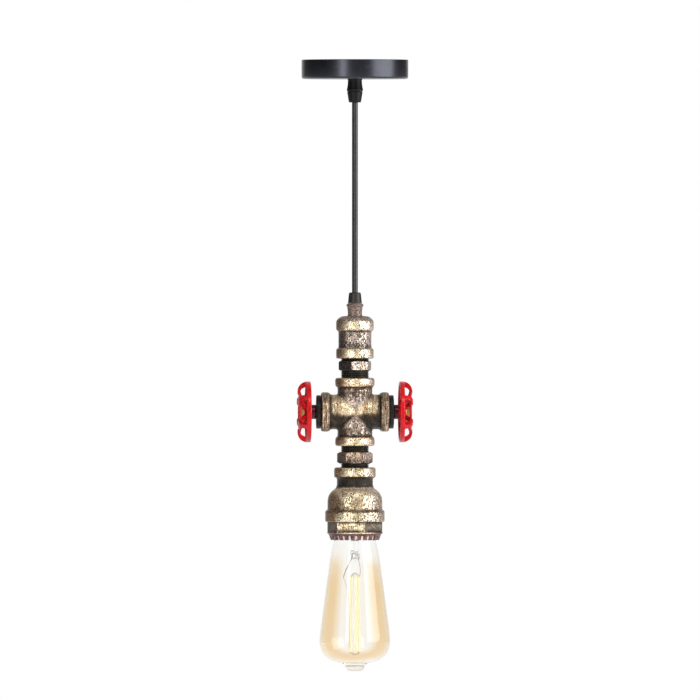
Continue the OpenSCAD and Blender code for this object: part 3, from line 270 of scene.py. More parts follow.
def armCoverage(tree, coverage, arm, zones):
    sideways, upDown, bands = zones
    # Painted light: the side arms carry more paint on their upper half, as if lit from above.
    lit = mapRange(tree, arm["Rise"], *(edge * mm for edge in armLook["rise"]), *armLook["riseWear"], True)
    older = mapRange(tree, axisOf(tree, placedVector(tree), "X"), *(edge * mm for edge in armLook["across"]),
                     *armLook["acrossWear"], True)
    coverage = mathNode(tree, "MULTIPLY_ADD", mathNode(tree, "ADD", lit, older), sideways, coverage)
    # The up-down arms and end bands get their own paint cover. Along the creases where the arms meet, the paint thins
    # as painted shade.
    for zone, wear in ((upDown, armLook["upDown"]), (arm["Crease"], armLook["crease"]), (bands, armLook["bandWear"])):
        coverage = mathNode(tree, "MULTIPLY_ADD", zone, wear, coverage)
    return coverage


def antiqueIron(name, stops, seed, cross=False, **changes):
    look = dict(ironLook, **changes)
    material, tree, shader = startMaterial(name, {"Specular IOR Level": look["gloss"],
                                                  "Specular Tint": look["sheen"]})
    shift = (seed * 0.37, seed * 0.21, seed * 0.11)
    plain = placedVector(tree, shift=shift)
    streaks = placedVector(tree, look["streak"], shift)
    places = [place * mm for place, _ in stops]
    lowest, highest = min(places), max(places)
    if cross:
        arm = addNode(tree, "ShaderNodeGroup", {"Vector": placedVector(tree)}, node_tree=crossArm).outputs
        zones = armZones(tree, arm)
        streaks = mixColour(tree, arm["Side Arm"], streaks, placedVector(tree, look["ringwise"], shift))
        place = arm["Reach"]
    else:
        place = axisOf(tree, placedVector(tree), "Z")
    coverage = ramp(tree, mapRange(tree, place, lowest, highest),
                    [((p * mm - lowest) / (highest - lowest), c) for p, c in sorted(stops)])
    if cross:
        coverage = armCoverage(tree, coverage, arm, zones)
    facing = axisOf(tree, tree.nodes.new("ShaderNodeTexCoord").outputs["Normal"], "X")
    # Painted light and shade by side: masks from how far a face turns towards +X or towards -X.
    rightward = mapRange(tree, facing, *look["rightFrom"], smooth=True)
    leftward = mapRange(tree, facing, look["leftFrom"], look["leftFrom"] - 0.35, smooth=True)
    worn = mathNode(tree, "MULTIPLY_ADD", leftward, look["leftWorn"], coverage)

    # Masks: brush strokes, broad patches, rust, pale paint and flecks
    brushed = blotchMask(tree, streaks, look["fine"], worn, 0.05, 7.0, 0.7)
    broad = blotchMask(tree, plain, 125.0, mathNode(tree, "MULTIPLY_ADD", worn, 0.7, 0.17), 0.12, 6.0, 0.7)
    rusty = blotchMask(tree, plain, 260.0, 0.3, 0.08, 6.0)
    light = blotchMask(tree, streaks, 300.0, mathNode(tree, "SUBTRACT", worn, 0.2), 0.14, 6.0, 0.7)
    flecks = blotchMask(tree, plain, 1500.0, mathNode(tree, "MULTIPLY_ADD", worn, 0.35, 0.12), 0.05, 3.0)

    base = mixColour(tree, mathNode(tree, "MULTIPLY", broad, 0.5), look["iron"], look["bronze"])
    base = mixColour(tree, mathNode(tree, "MULTIPLY", rusty, 0.6), base, look["rust"])
    paint = mixColour(tree, mathNode(tree, "MULTIPLY", broad, coverage), look["bronze"], look["gold"])
    paint = mixColour(tree, mathNode(tree, "MULTIPLY", light, 0.85), paint, look["cream"])
    paint = mixColour(tree, mapRange(tree, coverage, 0.76, 0.62, 0.0, look["ashen"]), paint, look["ash"])
    # Painted light and shade: the right-side colour on faces turned to +X, the dark left-side colour on faces turned
    # to -X.
    paint = mixColour(tree, mathNode(tree, "MULTIPLY", rightward, look["rightShare"]), paint, look["pink"])
    paint = mixColour(tree, mathNode(tree, "MULTIPLY", leftward, look["leftShare"]), paint, look["leftSide"])
    if cross:
        paint = mixColour(tree, mathNode(tree, "MULTIPLY", zones[1], 0.6), paint, look["ash"])
    cover = mathNode(tree, "MULTIPLY", brushed, mathNode(tree, "MULTIPLY_ADD", broad, 0.5, 0.5), clamp=True)
    cover = mathNode(tree, "MULTIPLY_ADD", flecks, 0.45, mathNode(tree, "MULTIPLY", cover, 0.94), clamp=True)

    # Dark pits, thickest in patches, and painted shade in the corners and recesses
    patchy = blotchMask(tree, plain, 180.0, 0.5, 0.2, 3.0)
    density = mathNode(tree, "MULTIPLY_ADD", patchy, 0.16, look["pitted"])
    pits = blotchMask(tree, streaks, 1000.0, mathNode(tree, "MULTIPLY_ADD", worn, -0.1, density), 0.045, 4.0)
    cover = mathNode(tree, "MULTIPLY", cover, mathNode(tree, "MULTIPLY_ADD", pits, -0.95, 1.0))
    # Painted shade: corners and recesses turn to bare iron and lose their metal look through ambient occlusion.
    clean = mapRange(tree, openSpace(tree, look["grimeMm"]), *look["grimeFrom"])
    tree.links.new(mixColour(tree, clean, look["iron"], mixColour(tree, cover, base, paint)),
                   shader.inputs["Base Color"])
    tree.links.new(mathNode(tree, "MULTIPLY", mathNode(tree, "MULTIPLY", cover, clean), 0.85),
                   shader.inputs["Metallic"])
    tree.links.new(mathNode(tree, "MULTIPLY_ADD", brushed, -0.06, look["dull"]), shader.inputs["Roughness"])
    skin = mathNode(tree, "MULTIPLY_ADD", pits, -0.5, castHeight(tree, plain, 620.0, 0.5))
    addBump(tree, shader, mathNode(tree, "MULTIPLY_ADD", brushed, 0.45, skin), look["bumpMm"], 0.9)
    return material


def paintedMetal(name, colour, second, seed, rough=0.35, coverage=0.3, metallic=0.0, bumpMm=0.05, scale=220.0,
                 specular=0.2, tint=(1.0, 1.0, 1.0)):
    material, tree, shader = startMaterial(name, {"Metallic": metallic, "Specular IOR Level": specular,
                                                  "Specular Tint": tint})
    vector = placedVector(tree, shift=(seed * 0.31, seed * 0.17, seed * 0.23))
    patches = blotchMask(tree, vector, scale, coverage, 0.14)
    tree.links.new(mixColour(tree, patches, colour, second), shader.inputs["Base Color"])
    tree.links.new(mathNode(tree, "MULTIPLY_ADD", patches, 0.12, rough), shader.inputs["Roughness"])
    addBump(tree, shader, castHeight(tree, vector, scale * 3, 0.2), bumpMm, 0.6)
    return material


def brushedMetal(name, colour, seed, rough):
    material, tree, shader = startMaterial(name, {"Metallic": 1.0})
    lines = noiseNode(tree, placedVector(tree, shift=(seed * 0.3, 0, seed * 0.2)), 900.0, 4.0)
    stain = blotchMask(tree, placedVector(tree), 90.0, 0.3, 0.2)
    dull = tuple(c * 0.62 for c in colour)
    tree.links.new(mixColour(tree, mathNode(tree, "MULTIPLY", stain, 0.6), colour, dull),
                   shader.inputs["Base Color"])
    tree.links.new(mathNode(tree, "MULTIPLY_ADD", lines, 0.22, rough - 0.08), shader.inputs["Roughness"])
    addBump(tree, shader, lines, 0.02, 0.5)
    return material


def mouldedPlastic(name, colour, seed, rough=0.45, scale=1400.0):
    material, tree, shader = startMaterial(name, {"Coat Weight": 0.05})
    vector = placedVector(tree, shift=(seed * 0.3, 0, 0))
    grain = noiseNode(tree, vector, scale, 3.0)
    lighter = tuple(min(1.0, c * 1.25 + 0.004) for c in colour)
    tree.links.new(mixColour(tree, blotchMask(tree, vector, 60.0, 0.5, 0.3), colour, lighter),
                   shader.inputs["Base Color"])
    tree.links.new(mathNode(tree, "MULTIPLY_ADD", grain, 0.16, rough - 0.08), shader.inputs["Roughness"])
    addBump(tree, shader, grain, 0.02, 0.5)
    return material


# Mesh helpers, all sizes in millimetres

def lathe(points, steps=96, closed=True):
    shape = bmesh.new()
    verts = [shape.verts.new((p[0] * mm, 0, p[1] * mm)) for p in points]
    pairs = list(zip(verts, verts[1:]))
    if closed:
        pairs.append((verts[-1], verts[0]))
    for pair in pairs:
        shape.edges.new(pair)
    rounds = {}
    for vert, point in zip(verts, points):
        if len(point) > 2 and point[2] > 0:
            rounds.setdefault(point[2], []).append(vert)
    for size in sorted(rounds):
        bmesh.ops.bevel(shape, geom=rounds[size], offset=size * mm, offset_type="OFFSET", segments=4,
                        profile=0.5, affect="VERTICES", material=-1)
    bmesh.ops.spin(shape, geom=shape.verts[:] + shape.edges[:], cent=(0, 0, 0), axis=(0, 0, 1), dvec=(0, 0, 0),
                   angle=math.tau, steps=steps, use_merge=True)
    bmesh.ops.remove_doubles(shape, verts=shape.verts[:], dist=1e-6)
    bmesh.ops.recalc_face_normals(shape, faces=shape.faces[:])
    return shape


def helix(radius, depth, pitch, top, turns, steps=64, crest=0.3):
    shape = bmesh.new()
    flat = pitch * crest / 2
    corners = [(radius - depth, 0), (radius, -pitch / 2 + flat), (radius, -pitch / 2 - flat),
               (radius - depth, -pitch), (radius - depth - 0.3, -pitch), (radius - depth - 0.3, 0)]
    verts = [shape.verts.new((r * mm, 0, (top + z) * mm)) for r, z in corners]
    first = shape.faces.new(verts)
    count = int(steps * turns)
    made = bmesh.ops.spin(shape, geom=verts + first.edges[:], cent=(0, 0, 0), axis=(0, 0, 1),
                          dvec=(0, 0, -pitch * mm / steps), angle=math.tau * turns, steps=count, use_merge=False)
    last = [e for e in made["geom_last"] if isinstance(e, bmesh.types.BMEdge)]
    bmesh.ops.contextual_create(shape, geom=last)
    bmesh.ops.recalc_face_normals(shape, faces=shape.faces[:])
    return shape


def cutHex(shape, acrossFlats, turn, round=0.0):
    flats = []
    for k in range(6):
        angle = math.radians(turn + 30 + 60 * k)
        side = Vector((math.cos(angle), math.sin(angle), 0))
        cut = bmesh.ops.bisect_plane(shape, geom=shape.verts[:] + shape.edges[:] + shape.faces[:], dist=1e-7,
                                     plane_co=side * acrossFlats / 2 * mm, plane_no=side, clear_outer=True)
        edges = [e for e in cut["geom_cut"] if isinstance(e, bmesh.types.BMEdge)]
        flats += bmesh.ops.contextual_create(shape, geom=edges)["faces"]
    if round:
        corners = {e for f in flats if f.is_valid for e in f.edges
                   if abs(e.verts[0].co.z - e.verts[1].co.z) > 0.9 * e.calc_length() and e.calc_length() > mm}
        bmesh.ops.bevel(shape, geom=list(corners), offset=round * mm, offset_type="OFFSET", segments=3,
                        profile=0.5, affect="EDGES", material=-1)
    return shape


def joinMeshes(*shapes):
    whole = shapes[0]
    for other in shapes[1:]:
        carrier = bpy.data.meshes.new("carrier")
        other.to_mesh(carrier)
        other.free()
        whole.from_mesh(carrier)
        bpy.data.meshes.remove(carrier)
    return whole


def placeMesh(shape, matrix):
    bmesh.ops.transform(shape, matrix=matrix, verts=shape.verts[:])
    return shape


def tube(points, radius, sides=12):
    curve = bpy.data.curves.new("path", "CURVE")
    curve.dimensions = "3D"
    curve.bevel_depth = radius * mm
    curve.bevel_resolution = max(1, sides // 4 - 1)
    curve.use_fill_caps = True
    line = curve.splines.new("POLY")
    line.points.add(len(points) - 1)
    for knot, point in zip(line.points, points):
        knot.co = (*(c * mm for c in point), 1)
    carrier = bpy.data.objects.new("path", curve)
    mesh = carrier.to_mesh()
    shape = bmesh.new()
    shape.from_mesh(mesh)
    carrier.to_mesh_clear()
    bpy.data.objects.remove(carrier)
    bpy.data.curves.remove(curve)
    bmesh.ops.remove_doubles(shape, verts=shape.verts[:], dist=1e-6)
    bmesh.ops.recalc_face_normals(shape, faces=shape.faces[:])
    return shape


def smoothPath(points, steps=8):
    spots = [Vector(p) for p in points]
    spots = [spots[0] * 2 - spots[1]] + spots + [spots[-1] * 2 - spots[-2]]
    path = []
    for a, b, c, d in zip(spots, spots[1:], spots[2:], spots[3:]):
        for k in range(steps):
            t = k / steps
            path.append(0.5 * (b * 2 + (c - a) * t + (a * 2 - b * 5 + c * 4 - d) * t * t
                               + (b * 3 - a - c * 3 + d) * t * t * t))
    return path + [spots[-2]]


def castCopy(node, setup):
    mesh = cad[node].data.copy()
    shape = bmesh.new()
    shape.from_mesh(mesh)
    bmesh.ops.remove_doubles(shape, verts=shape.verts[:], dist=1e-6)
    shape.to_mesh(mesh)
    shape.free()
    carrier = sceneObject("casting", mesh)
    remesh = carrier.modifiers.new("remesh", "REMESH")
    remesh.mode = "VOXEL"
    remesh.voxel_size = setup["voxel"] * mm
    smooth = carrier.modifiers.new("smooth", "SMOOTH")
    smooth.factor, smooth.iterations = 0.5, setup["smoothing"]
    shown = carrier.evaluated_get(bpy.context.evaluated_depsgraph_get())
    shape = bmesh.new()
    shape.from_mesh(shown.to_mesh())
    shown.to_mesh_clear()
    bpy.data.objects.remove(carrier)
    bpy.data.meshes.remove(mesh)
    return shape


def finishedObject(name, shape, material):
    mesh = bpy.data.meshes.new(name)
    shape.to_mesh(mesh)
    shape.free()
    mesh.materials.append(material)
    return sceneObject(name, mesh)


def addPiece(name, shape, material, body, replaces=(), sharp=32):
    piece = finishedObject(name, shape, material)
    piece.data.polygons.foreach_set("use_smooth", [True] * len(piece.data.polygons))
    if sharp:
        piece.data.set_sharp_from_angle(angle=math.radians(sharp))
    if body:
        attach(piece, body)
    if replaces:
        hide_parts(*replaces)
    return piece


def hexCorner(across):
    return across / 2 / math.cos(math.radians(30))


def extent(node):
    low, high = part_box(node)
    return (high.x - low.x) / 2 / mm, high.z / mm, low.z / mm


# Cord: a smooth black sheath, hanging straight from the bush to the lamp's gland

cordShape = {"diameter": 5.5, "top": -38.0, "low": -223.0, "length": 185.0, "sides": 32, "rings": 60,
             "bendFrom": -35.25, "route": (-38, -44, -58, -72, -86, -100, -114, -128, -142, -156, -170, -184, -198,
                                           -212, -223),
             "black": (0.0125, 0.0125, 0.0145), "scuffed": (0.028, 0.028, 0.031)}


def cordSheath(setup):
    material, tree, shader = startMaterial("cordSheath", {"Specular IOR Level": 0.4})
    drawn = noiseNode(tree, placedVector(tree, (1, 1, 0.05)), 1500.0, 4.0)
    scuffs = blotchMask(tree, placedVector(tree, (1, 1, 0.3)), 260.0, 0.16, 0.12)
    tree.links.new(mixColour(tree, scuffs, setup["black"], setup["scuffed"]), shader.inputs["Base Color"])
    tree.links.new(mathNode(tree, "MULTIPLY_ADD", drawn, 0.2, 0.22), shader.inputs["Roughness"])
    addBump(tree, shader, drawn, 0.03, 0.5)
    return material


def makeCord(setup):
    radius, top, low, rings = setup["diameter"] / 2, setup["top"], setup["low"], setup["rings"]
    knots = [(radius * math.sin(math.radians(a)), top + radius * math.cos(math.radians(a)))
             for a in (0, 20, 40, 60, 75, 90)]
    knots += [(radius, top - (top - low) * k / rings) for k in range(1, rings + 1)] + [(0, low)]
    shape = lathe(knots, setup["sides"], closed=False)
    cord = addPiece("hangingCord", shape, cordSheath(setup), None, ("hanging_cord",), 50)
    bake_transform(cord)


makeCord(cordShape)
print("cord made")

# Canopy and its gland: satin black

canopyShape = {"round": 2.0, "wall": 1.0, "hole": 6.6, "edge": 0.3, "black": (0.006, 0.006, 0.0075),
               "worn": (0.010, 0.010, 0.0125)}
canopyPaint = paintedMetal("canopyEnamel", canopyShape["black"], canopyShape["worn"], 1, rough=0.29, coverage=0.25,
                           bumpMm=0.012, scale=160.0, specular=0.56, tint=(0.80, 0.83, 1.0))
glandPaint = paintedMetal("glandBlack", canopyShape["black"], canopyShape["worn"], 24, rough=0.42, coverage=0.3,
                          bumpMm=0.03, scale=500.0, specular=0.15)


def makeCanopy(setup, material):
    radius, high, low = extent("ceiling_canopy")
    wall, edge = setup["wall"], setup["edge"]
    shape = lathe([(setup["hole"], low), (radius, low, setup["round"]), (radius, high, edge),
                   (radius - wall, high, edge), (radius - wall, low + wall, setup["round"] / 2),
                   (setup["hole"], low + wall)], 160)
    addPiece("canopy", shape, material, "canopy", ("ceiling_canopy",))


makeCanopy(canopyShape, canopyPaint)

glandShape = {"bodyHigh": 12.0, "high": 22.0, "bore": 4.6}
canopyGland = dict(glandShape, base=-18.0, side=-1, foot=6.8, collar=7.6, cap=7.2, mouth=5.5, step=0.35, capHole=5.2,
                   body="canopy", slots=("black_enamel", "black_enamel"), finishes=(glandPaint, glandPaint))


def makeGland(place, setup):
    mid, high, bore, hole = setup["bodyHigh"], setup["high"], setup["bore"], setup["capHole"]
    foot, collar, cap, mouth = setup["foot"], setup["collar"], setup["cap"], setup["mouth"]
    lower = [(bore, 0), (foot + 0.1, 0), (foot + 0.1, 0.9, 0.2), (foot - 0.25, 1.3, 0.2),
             (foot - 0.1, 4.5, 1.5), (collar - setup["step"], mid - 3.4, 0.8), (collar, mid - 2.7, 0.5),
             (collar, mid - 1.4, 0.5), (cap - 0.2, mid - 0.1, 0.2), (bore, mid - 0.1)]
    upper = [(hole + 0.2, mid), (cap, mid, 0.25), (cap - 0.15, mid + 1.4, 0.6), (mouth + 0.45, high - 1.4, 0.8),
             (mouth, high, 0.75), (hole + 0.5, high, 0.4), (hole, high - 0.8)]
    for part, points, finish, slot in zip(("Body", "Cap"), (lower, upper), setup["finishes"], setup["slots"]):
        shape = lathe([(p[0], setup["base"] + setup["side"] * p[1], *p[2:]) for p in points], 96)
        addPiece(place + "Gland" + part, shape, finish, setup["body"], (place + "_gland_" + part.lower(),))


makeGland("canopy", canopyGland)
lampGlandPaint = paintedMetal("lampGlandBronze", (0.31, 0.22, 0.18), (0.07, 0.05, 0.045), 2, rough=0.36,
                              coverage=0.46, metallic=0.3, scale=640.0)
lampCapPaint = paintedMetal("lampGlandDark", (0.036, 0.032, 0.028), (0.11, 0.09, 0.07), 3, rough=0.38,
                            coverage=0.22, metallic=0.2, scale=330.0, specular=0.2)
lampGland = dict(glandShape, base=-240.0, side=1, foot=6.85, collar=8.0, cap=6.6, mouth=5.25, step=0.8, capHole=2.95,
                 body="lamp_gland", slots=("bronze_paint", "dark_bronze_paint"),
                 finishes=(lampGlandPaint, lampCapPaint))
makeGland("lamp", lampGland)
print("canopy and glands made")

# Pipe fittings: coupling, nipples, cross and bell reducer

# The side colours given to each fitting are painted light and shade on its faces turned to +X and -X.
couplingGold = antiqueIron("couplingIron", [
    (-240, 0.5), (-244, 0.6), (-246, 0.86), (-252, 0.84), (-254.5, 0.42), (-256, 0.56), (-266, 0.56), (-269, 0.4),
    (-271, 0.8), (-279, 0.84), (-280, 0.3)], 4, ashen=0.75, pitted=0.4, ash=(0.74, 0.62, 0.55))
crossGold = antiqueIron("crossIron", [
    (0, 0.55), (12, 0.52), (16, 0.42), (20, 0.42), (23.2, 0.3), (24.5, 0.8), (31, 0.84), (32.5, 0.5)], 9, cross=True,
    pitted=0.4, ash=(0.80, 0.68, 0.62), cream=(1.0, 0.85, 0.58), gold=(0.80, 0.52, 0.26), bronze=(0.21, 0.115, 0.05))
bellGold = antiqueIron("bellIron", [
    (-382, 0.5), (-383, 0.84), (-390, 0.84), (-391.5, 0.2), (-399.5, 0.2), (-401.5, 0.9), (-407, 0.88),
    (-412, 0.74), (-420, 0.68), (-423.5, 0.5), (-425, 0.82), (-433, 0.8)], 14, pitted=0.44,
    leftSide=(0.30, 0.14, 0.07), ashen=0.0)
bushGold = antiqueIron("bushIron", [(-433, 0.72), (-438, 0.72), (-442.5, 0.6), (-444, 0.84)], 19,
                       pink=(0.20, 0.17, 0.15), rightShare=0.9, leftSide=(0.26, 0.15, 0.12))
upperHexGold = antiqueIron("upperNippleIron", [
    (-280, 0.16), (-282, 0.74), (-290, 0.78), (-292, 0.12), (-298, 0.1)], 23, gold=(0.46, 0.34, 0.26),
    cream=(0.92, 0.76, 0.64), pitted=0.4, leftSide=(0.014, 0.012, 0.014), leftFrom=-0.28, leftShare=0.97,
    rust=(0.04, 0.025, 0.02), bronze=(0.07, 0.055, 0.045))
lowerHexGold = antiqueIron("lowerNippleIron", [
    (-362, 0.1), (-367, 0.12), (-368, 0.78), (-372, 0.74), (-376, 0.5), (-378, 0.48), (-379, 0.1), (-382, 0.1)], 26,
    gold=(0.52, 0.31, 0.19), cream=(0.95, 0.70, 0.50), pitted=0.42, ash=(0.42, 0.36, 0.34), ashen=0.6,
    leftSide=(0.05, 0.03, 0.03), leftFrom=-0.28)

couplingShape = {"body": 15.4, "band": 17.6, "bandHigh": 9.0, "dome": 4.5, "shoulder": 8.4, "round": 1.4,
                 "bore": 12.4, "hole": 6.8, "top": -240.0}


def makeCoupling(setup, material):
    _, high, low = extent("top_coupling")
    high = min(high, setup["top"])
    body, band, bore, hole, edge = (setup[k] for k in ("body", "band", "bore", "hole", "round"))
    upper, lower = high - setup["dome"], low + setup["bandHigh"]
    upperLow = upper - setup["bandHigh"]
    shape = lathe([(bore, low + 0.6), (bore + 0.9, low), (band, low, edge), (band, lower, edge),
                   (body + 0.15, lower + 0.9, 0.7), (body, lower + 4), (body, upperLow - 4),
                   (body + 0.15, upperLow - 0.9, 0.7), (band, upperLow, edge), (band, upper, 1.6),
                   (band - 4.2, high - 0.5, 2.2), (setup["shoulder"], high, 0.6), (hole, high),
                   (hole, high - 4), (bore, high - 6)], 128)
    addPiece("topCoupling", shape, material, "lamp", ("top_coupling",))


makeCoupling(couplingShape, couplingGold)

nippleShape = {"radius": 13.1, "cut": 0.85, "pitch": 1.81, "bore": 10.2, "hidden": 7.0}
upperNipple = dict(nippleShape, node="upper_nipple", high=-280.0, low=-298.0, neck=2.0, hexHigh=9.5, across=27.8,
                   turn=15.0)
lowerNipple = dict(nippleShape, node="lower_nipple", high=-362.0, low=-382.0, neck=5.5, hexHigh=11.0, across=29.0,
                   turn=-3.0)


def makeNipple(name, setup, material):
    radius, bore, cut, pitch = setup["radius"], setup["bore"], setup["cut"], setup["pitch"]
    high, low, hidden = setup["high"], setup["low"], setup["hidden"]
    hexHigh = high - setup["neck"]
    hexLow = hexHigh - setup["hexHigh"]
    corner, flat = hexCorner(setup["across"]), setup["across"] / 2
    slope = (corner - flat) * 0.75
    nut = lathe([(bore, hexHigh), (flat - 0.4, hexHigh), (corner + 0.3, hexHigh - slope),
                 (corner + 0.3, hexLow + slope), (flat - 0.4, hexLow), (bore, hexLow)], 144)
    cutHex(nut, setup["across"], setup["turn"], 0.45)
    core = lathe([(bore, high + hidden), (radius - cut, high + hidden), (radius - cut, low - hidden),
                  (bore, low - hidden)], 96)
    above = helix(radius, cut + 0.1, pitch, high + hidden, (setup["neck"] + hidden) / pitch)
    below = helix(radius, cut + 0.1, pitch, hexLow + 0.6, (hexLow - low + hidden) / pitch)
    addPiece(name, joinMeshes(nut, core, above, below), material, "lamp", (setup["node"],), 28)


makeNipple("upperNipple", upperNipple, upperHexGold)
makeNipple("lowerNipple", lowerNipple, lowerHexGold)

crossShape = {"voxel": 0.62, "smoothing": 5}
addPiece("pipeCross", castCopy("pipe_cross", crossShape), crossGold, "lamp", ("pipe_cross",), 0)

plugShape = {"radius": 15.7, "face": 36.2, "back": 31.0, "flange": 32.4, "shank": 13.5, "recess": 7.4,
             "sunk": 0.5, "round": 0.9, "bore": 4.4, "black": (0.011, 0.0105, 0.0105),
             "worn": (0.045, 0.035, 0.025)}
plugPaint = paintedMetal("plugIron", plugShape["black"], plugShape["worn"], 5, rough=0.42, coverage=0.3,
                         bumpMm=0.12, scale=300.0, specular=0.2)


def sideMatrix(side):
    turn = Matrix.Rotation(math.radians(90 * side), 4, "Y")
    return Matrix.Translation((0, 0, crossCentre.z)) @ turn


def makePlug(name, setup, side, node, material):
    radius, face, bore = setup["radius"], setup["face"], setup["bore"]
    shank, flange, recess, floor = setup["shank"], setup["flange"], setup["recess"], setup["face"] - setup["sunk"]
    shape = lathe([(bore, setup["back"]), (shank, setup["back"]), (shank, flange), (radius, flange, 0.4),
                   (radius, face, setup["round"]), (recess, face, 0.3), (recess - 0.4, floor), (bore, floor)], 96)
    placeMesh(shape, sideMatrix(side))
    addPiece(name, shape, material, "lamp", (node,))


makePlug("leftPlug", plugShape, -1, "left_plug", plugPaint)
makePlug("rightPlug", plugShape, 1, "right_plug", plugPaint)

bellShape = {"band": 19.5, "bandHigh": 9.0, "neck": 16.85, "neckHigh": 10.0, "dome": 7.0, "side": 25.65,
             "rim": 27.85, "rimHigh": 10.0, "bore": 13.2, "mouth": 24.4}


def makeBell(setup, material):
    _, high, low = extent("bell_reducer")
    band, neck, side, rim, bore, mouth = (setup[k] for k in ("band", "neck", "side", "rim", "bore", "mouth"))
    bandLow = high - setup["bandHigh"]
    neckLow = bandLow - setup["neckHigh"]
    domeLow = neckLow - setup["dome"]
    rimTop = low + setup["rimHigh"]
    shape = lathe([(bore, high - 0.5), (bore + 0.8, high), (band, high, 2.0), (band, bandLow, 1.2),
                   (neck + 0.3, bandLow - 1.0, 0.8), (neck, bandLow - 3), (neck, neckLow + 2.2, 1.4),
                   (neck + 1.3, neckLow - 0.6, 1.0), (side - 4.0, neckLow - 3.2, 1.6),
                   (side - 1.2, domeLow + 0.3, 2.0), (side, domeLow - 4.2, 2.2), (side, rimTop + 1.4, 0.9),
                   (rim, rimTop + 0.1, 1.2), (rim, low, 1.2), (mouth, low, 0.4), (mouth, low + 10),
                   (side - 3.2, domeLow + 1, 3.0), (bore, neckLow + 2), (bore, high - 10)], 144)
    addPiece("bellReducer", shape, material, "lamp", ("bell_reducer",), 40)


makeBell(bellShape, bellGold)

bushShape = {"top": -431.0, "low": -442.6, "foot": -444.0, "across": 45.2, "turn": -12.0, "flange": 26.0,
             "bore": 18.2}


def makeBush(setup, material):
    top, low, foot, bore = setup["top"], setup["low"], setup["foot"], setup["bore"]
    corner = hexCorner(setup["across"])
    nut = lathe([(bore, top), (corner + 0.3, top), (corner + 0.3, low - 0.2), (bore, low - 0.2)], 144)
    cutHex(nut, setup["across"], setup["turn"], 0.6)
    flange = lathe([(bore, low), (setup["flange"], low, 0.6), (setup["flange"], foot, 0.5), (bore, foot)], 144)
    addPiece("hexBush", joinMeshes(nut, flange), material, "lamp", ("hex_bush",), 30)


makeBush(bushShape, bushGold)
print("pipe fittings made")

# Retaining ring, with its row of notches, and a pale sleeve behind them as painted highlights

ringShape = {"voxel": 0.3, "smoothing": 2, "red": (0.23, 0.105, 0.09), "brown": (0.045, 0.018, 0.017)}
ringPaint = paintedMetal("ringEnamel", ringShape["red"], ringShape["brown"], 6, rough=0.26, coverage=0.5,
                         metallic=0.35, bumpMm=0.06, scale=430.0, specular=0.5)
# The pale sleeve inside the ring shows through its notches as painted highlights.
linerShape = {"bore": 20.6, "top": 23.0, "foot": 22.0, "high": -445.7, "low": -449.3, "pale": (0.97, 0.87, 0.83),
              "rosy": (0.72, 0.55, 0.50)}
linerPaint = paintedMetal("ringLinerPaint", linerShape["pale"], linerShape["rosy"], 21, rough=0.3, coverage=0.3,
                          metallic=0.2, scale=500.0)
addPiece("retainingRing", castCopy("retaining_ring", ringShape), ringPaint, "lamp",
         ("retaining_ring",), 0)


# Painted light: a pale sleeve set behind the notches.
def makeLiner(setup, material):
    bore, high, low = setup["bore"], setup["high"], setup["low"]
    shape = lathe([(bore, high), (setup["top"], high), (setup["foot"], low, 0.3), (bore, low)], 96)
    addPiece("ringLiner", shape, material, "lamp", (), 40)


makeLiner(linerShape, linerPaint)

# Handwheels: gloss red castings with brass nuts

wheelShape = {"voxel": 0.42, "smoothing": 4, "red": (0.66, 0.006, 0.011), "dark": (0.30, 0.002, 0.006),
              "boss": (0.09, 0.003, 0.008), "bossEnd": 41.0}


def wheelEnamel(setup):
    material, tree, shader = startMaterial("wheelEnamel", {"Specular IOR Level": 0.2, "Coat Weight": 0.16,
                                                           "Coat Roughness": 0.06})
    vector = placedVector(tree)
    worn = mixColour(tree, blotchMask(tree, vector, 140.0, 0.3, 0.2), setup["red"], setup["dark"])
    # Painted shade: the wheel's recesses and windows darken to the dark red through ambient occlusion.
    worn = mixColour(tree, mathNode(tree, "POWER", openSpace(tree, 6.0), 2.2), setup["dark"], worn)
    # Painted shade: the hub boss towards the plug is coloured dark, as if in shadow.
    reach = mathNode(tree, "ABSOLUTE", axisOf(tree, vector, "X"))
    inBoss = mapRange(tree, reach, (setup["bossEnd"] + 0.5) * mm, (setup["bossEnd"] - 0.5) * mm)
    tree.links.new(mixColour(tree, inBoss, worn, setup["boss"]), shader.inputs["Base Color"])
    runs = noiseNode(tree, vector, 260.0)
    tree.links.new(mathNode(tree, "MULTIPLY_ADD", runs, 0.14, 0.2), shader.inputs["Roughness"])
    addBump(tree, shader, castHeight(tree, vector, 300.0, 0.25), 0.12, 0.5)
    return material


wheelRed = wheelEnamel(wheelShape)
for side in ("left", "right"):
    addPiece(side + "Handwheel", castCopy(side + "_handwheel", wheelShape), wheelRed, side + "_wheel",
             (side + "_handwheel",), 0)

nutShape = {"front": 47.5, "washer": 0.8, "washerRadius": 5.0, "high": 3.2, "across": 8.0, "bore": 2.1,
            "brass": (0.78, 0.50, 0.18)}
brassFinish = brushedMetal("turnedBrass", nutShape["brass"], 7, 0.26)


def makeNut(name, setup, side, material):
    bore, front, rim = setup["bore"], setup["front"], setup["washerRadius"]
    back = front + setup["washer"]
    face = back + setup["high"]
    corner = hexCorner(setup["across"])
    nut = lathe([(bore, back), (corner, back), (corner, face - 0.5), (setup["across"] / 2 - 0.1, face),
                 (bore + 0.4, face), (bore, face - 0.4)], 96)
    cutHex(nut, setup["across"], 0, 0.15)
    washer = lathe([(bore + 0.1, front), (rim, front, 0.15), (rim, back - 0.02, 0.15), (bore + 0.1, back - 0.02)],
                   64)
    for part, shape in (("Nut", nut), ("Washer", washer)):
        placeMesh(shape, sideMatrix(side))
        addPiece(name + part, shape, material, name + "_wheel", (name + "_wheel_" + part.lower(),),
                 30)


makeNut("left", nutShape, -1, brassFinish)
makeNut("right", nutShape, 1, brassFinish)
print("ring and handwheels made")

# Bulb

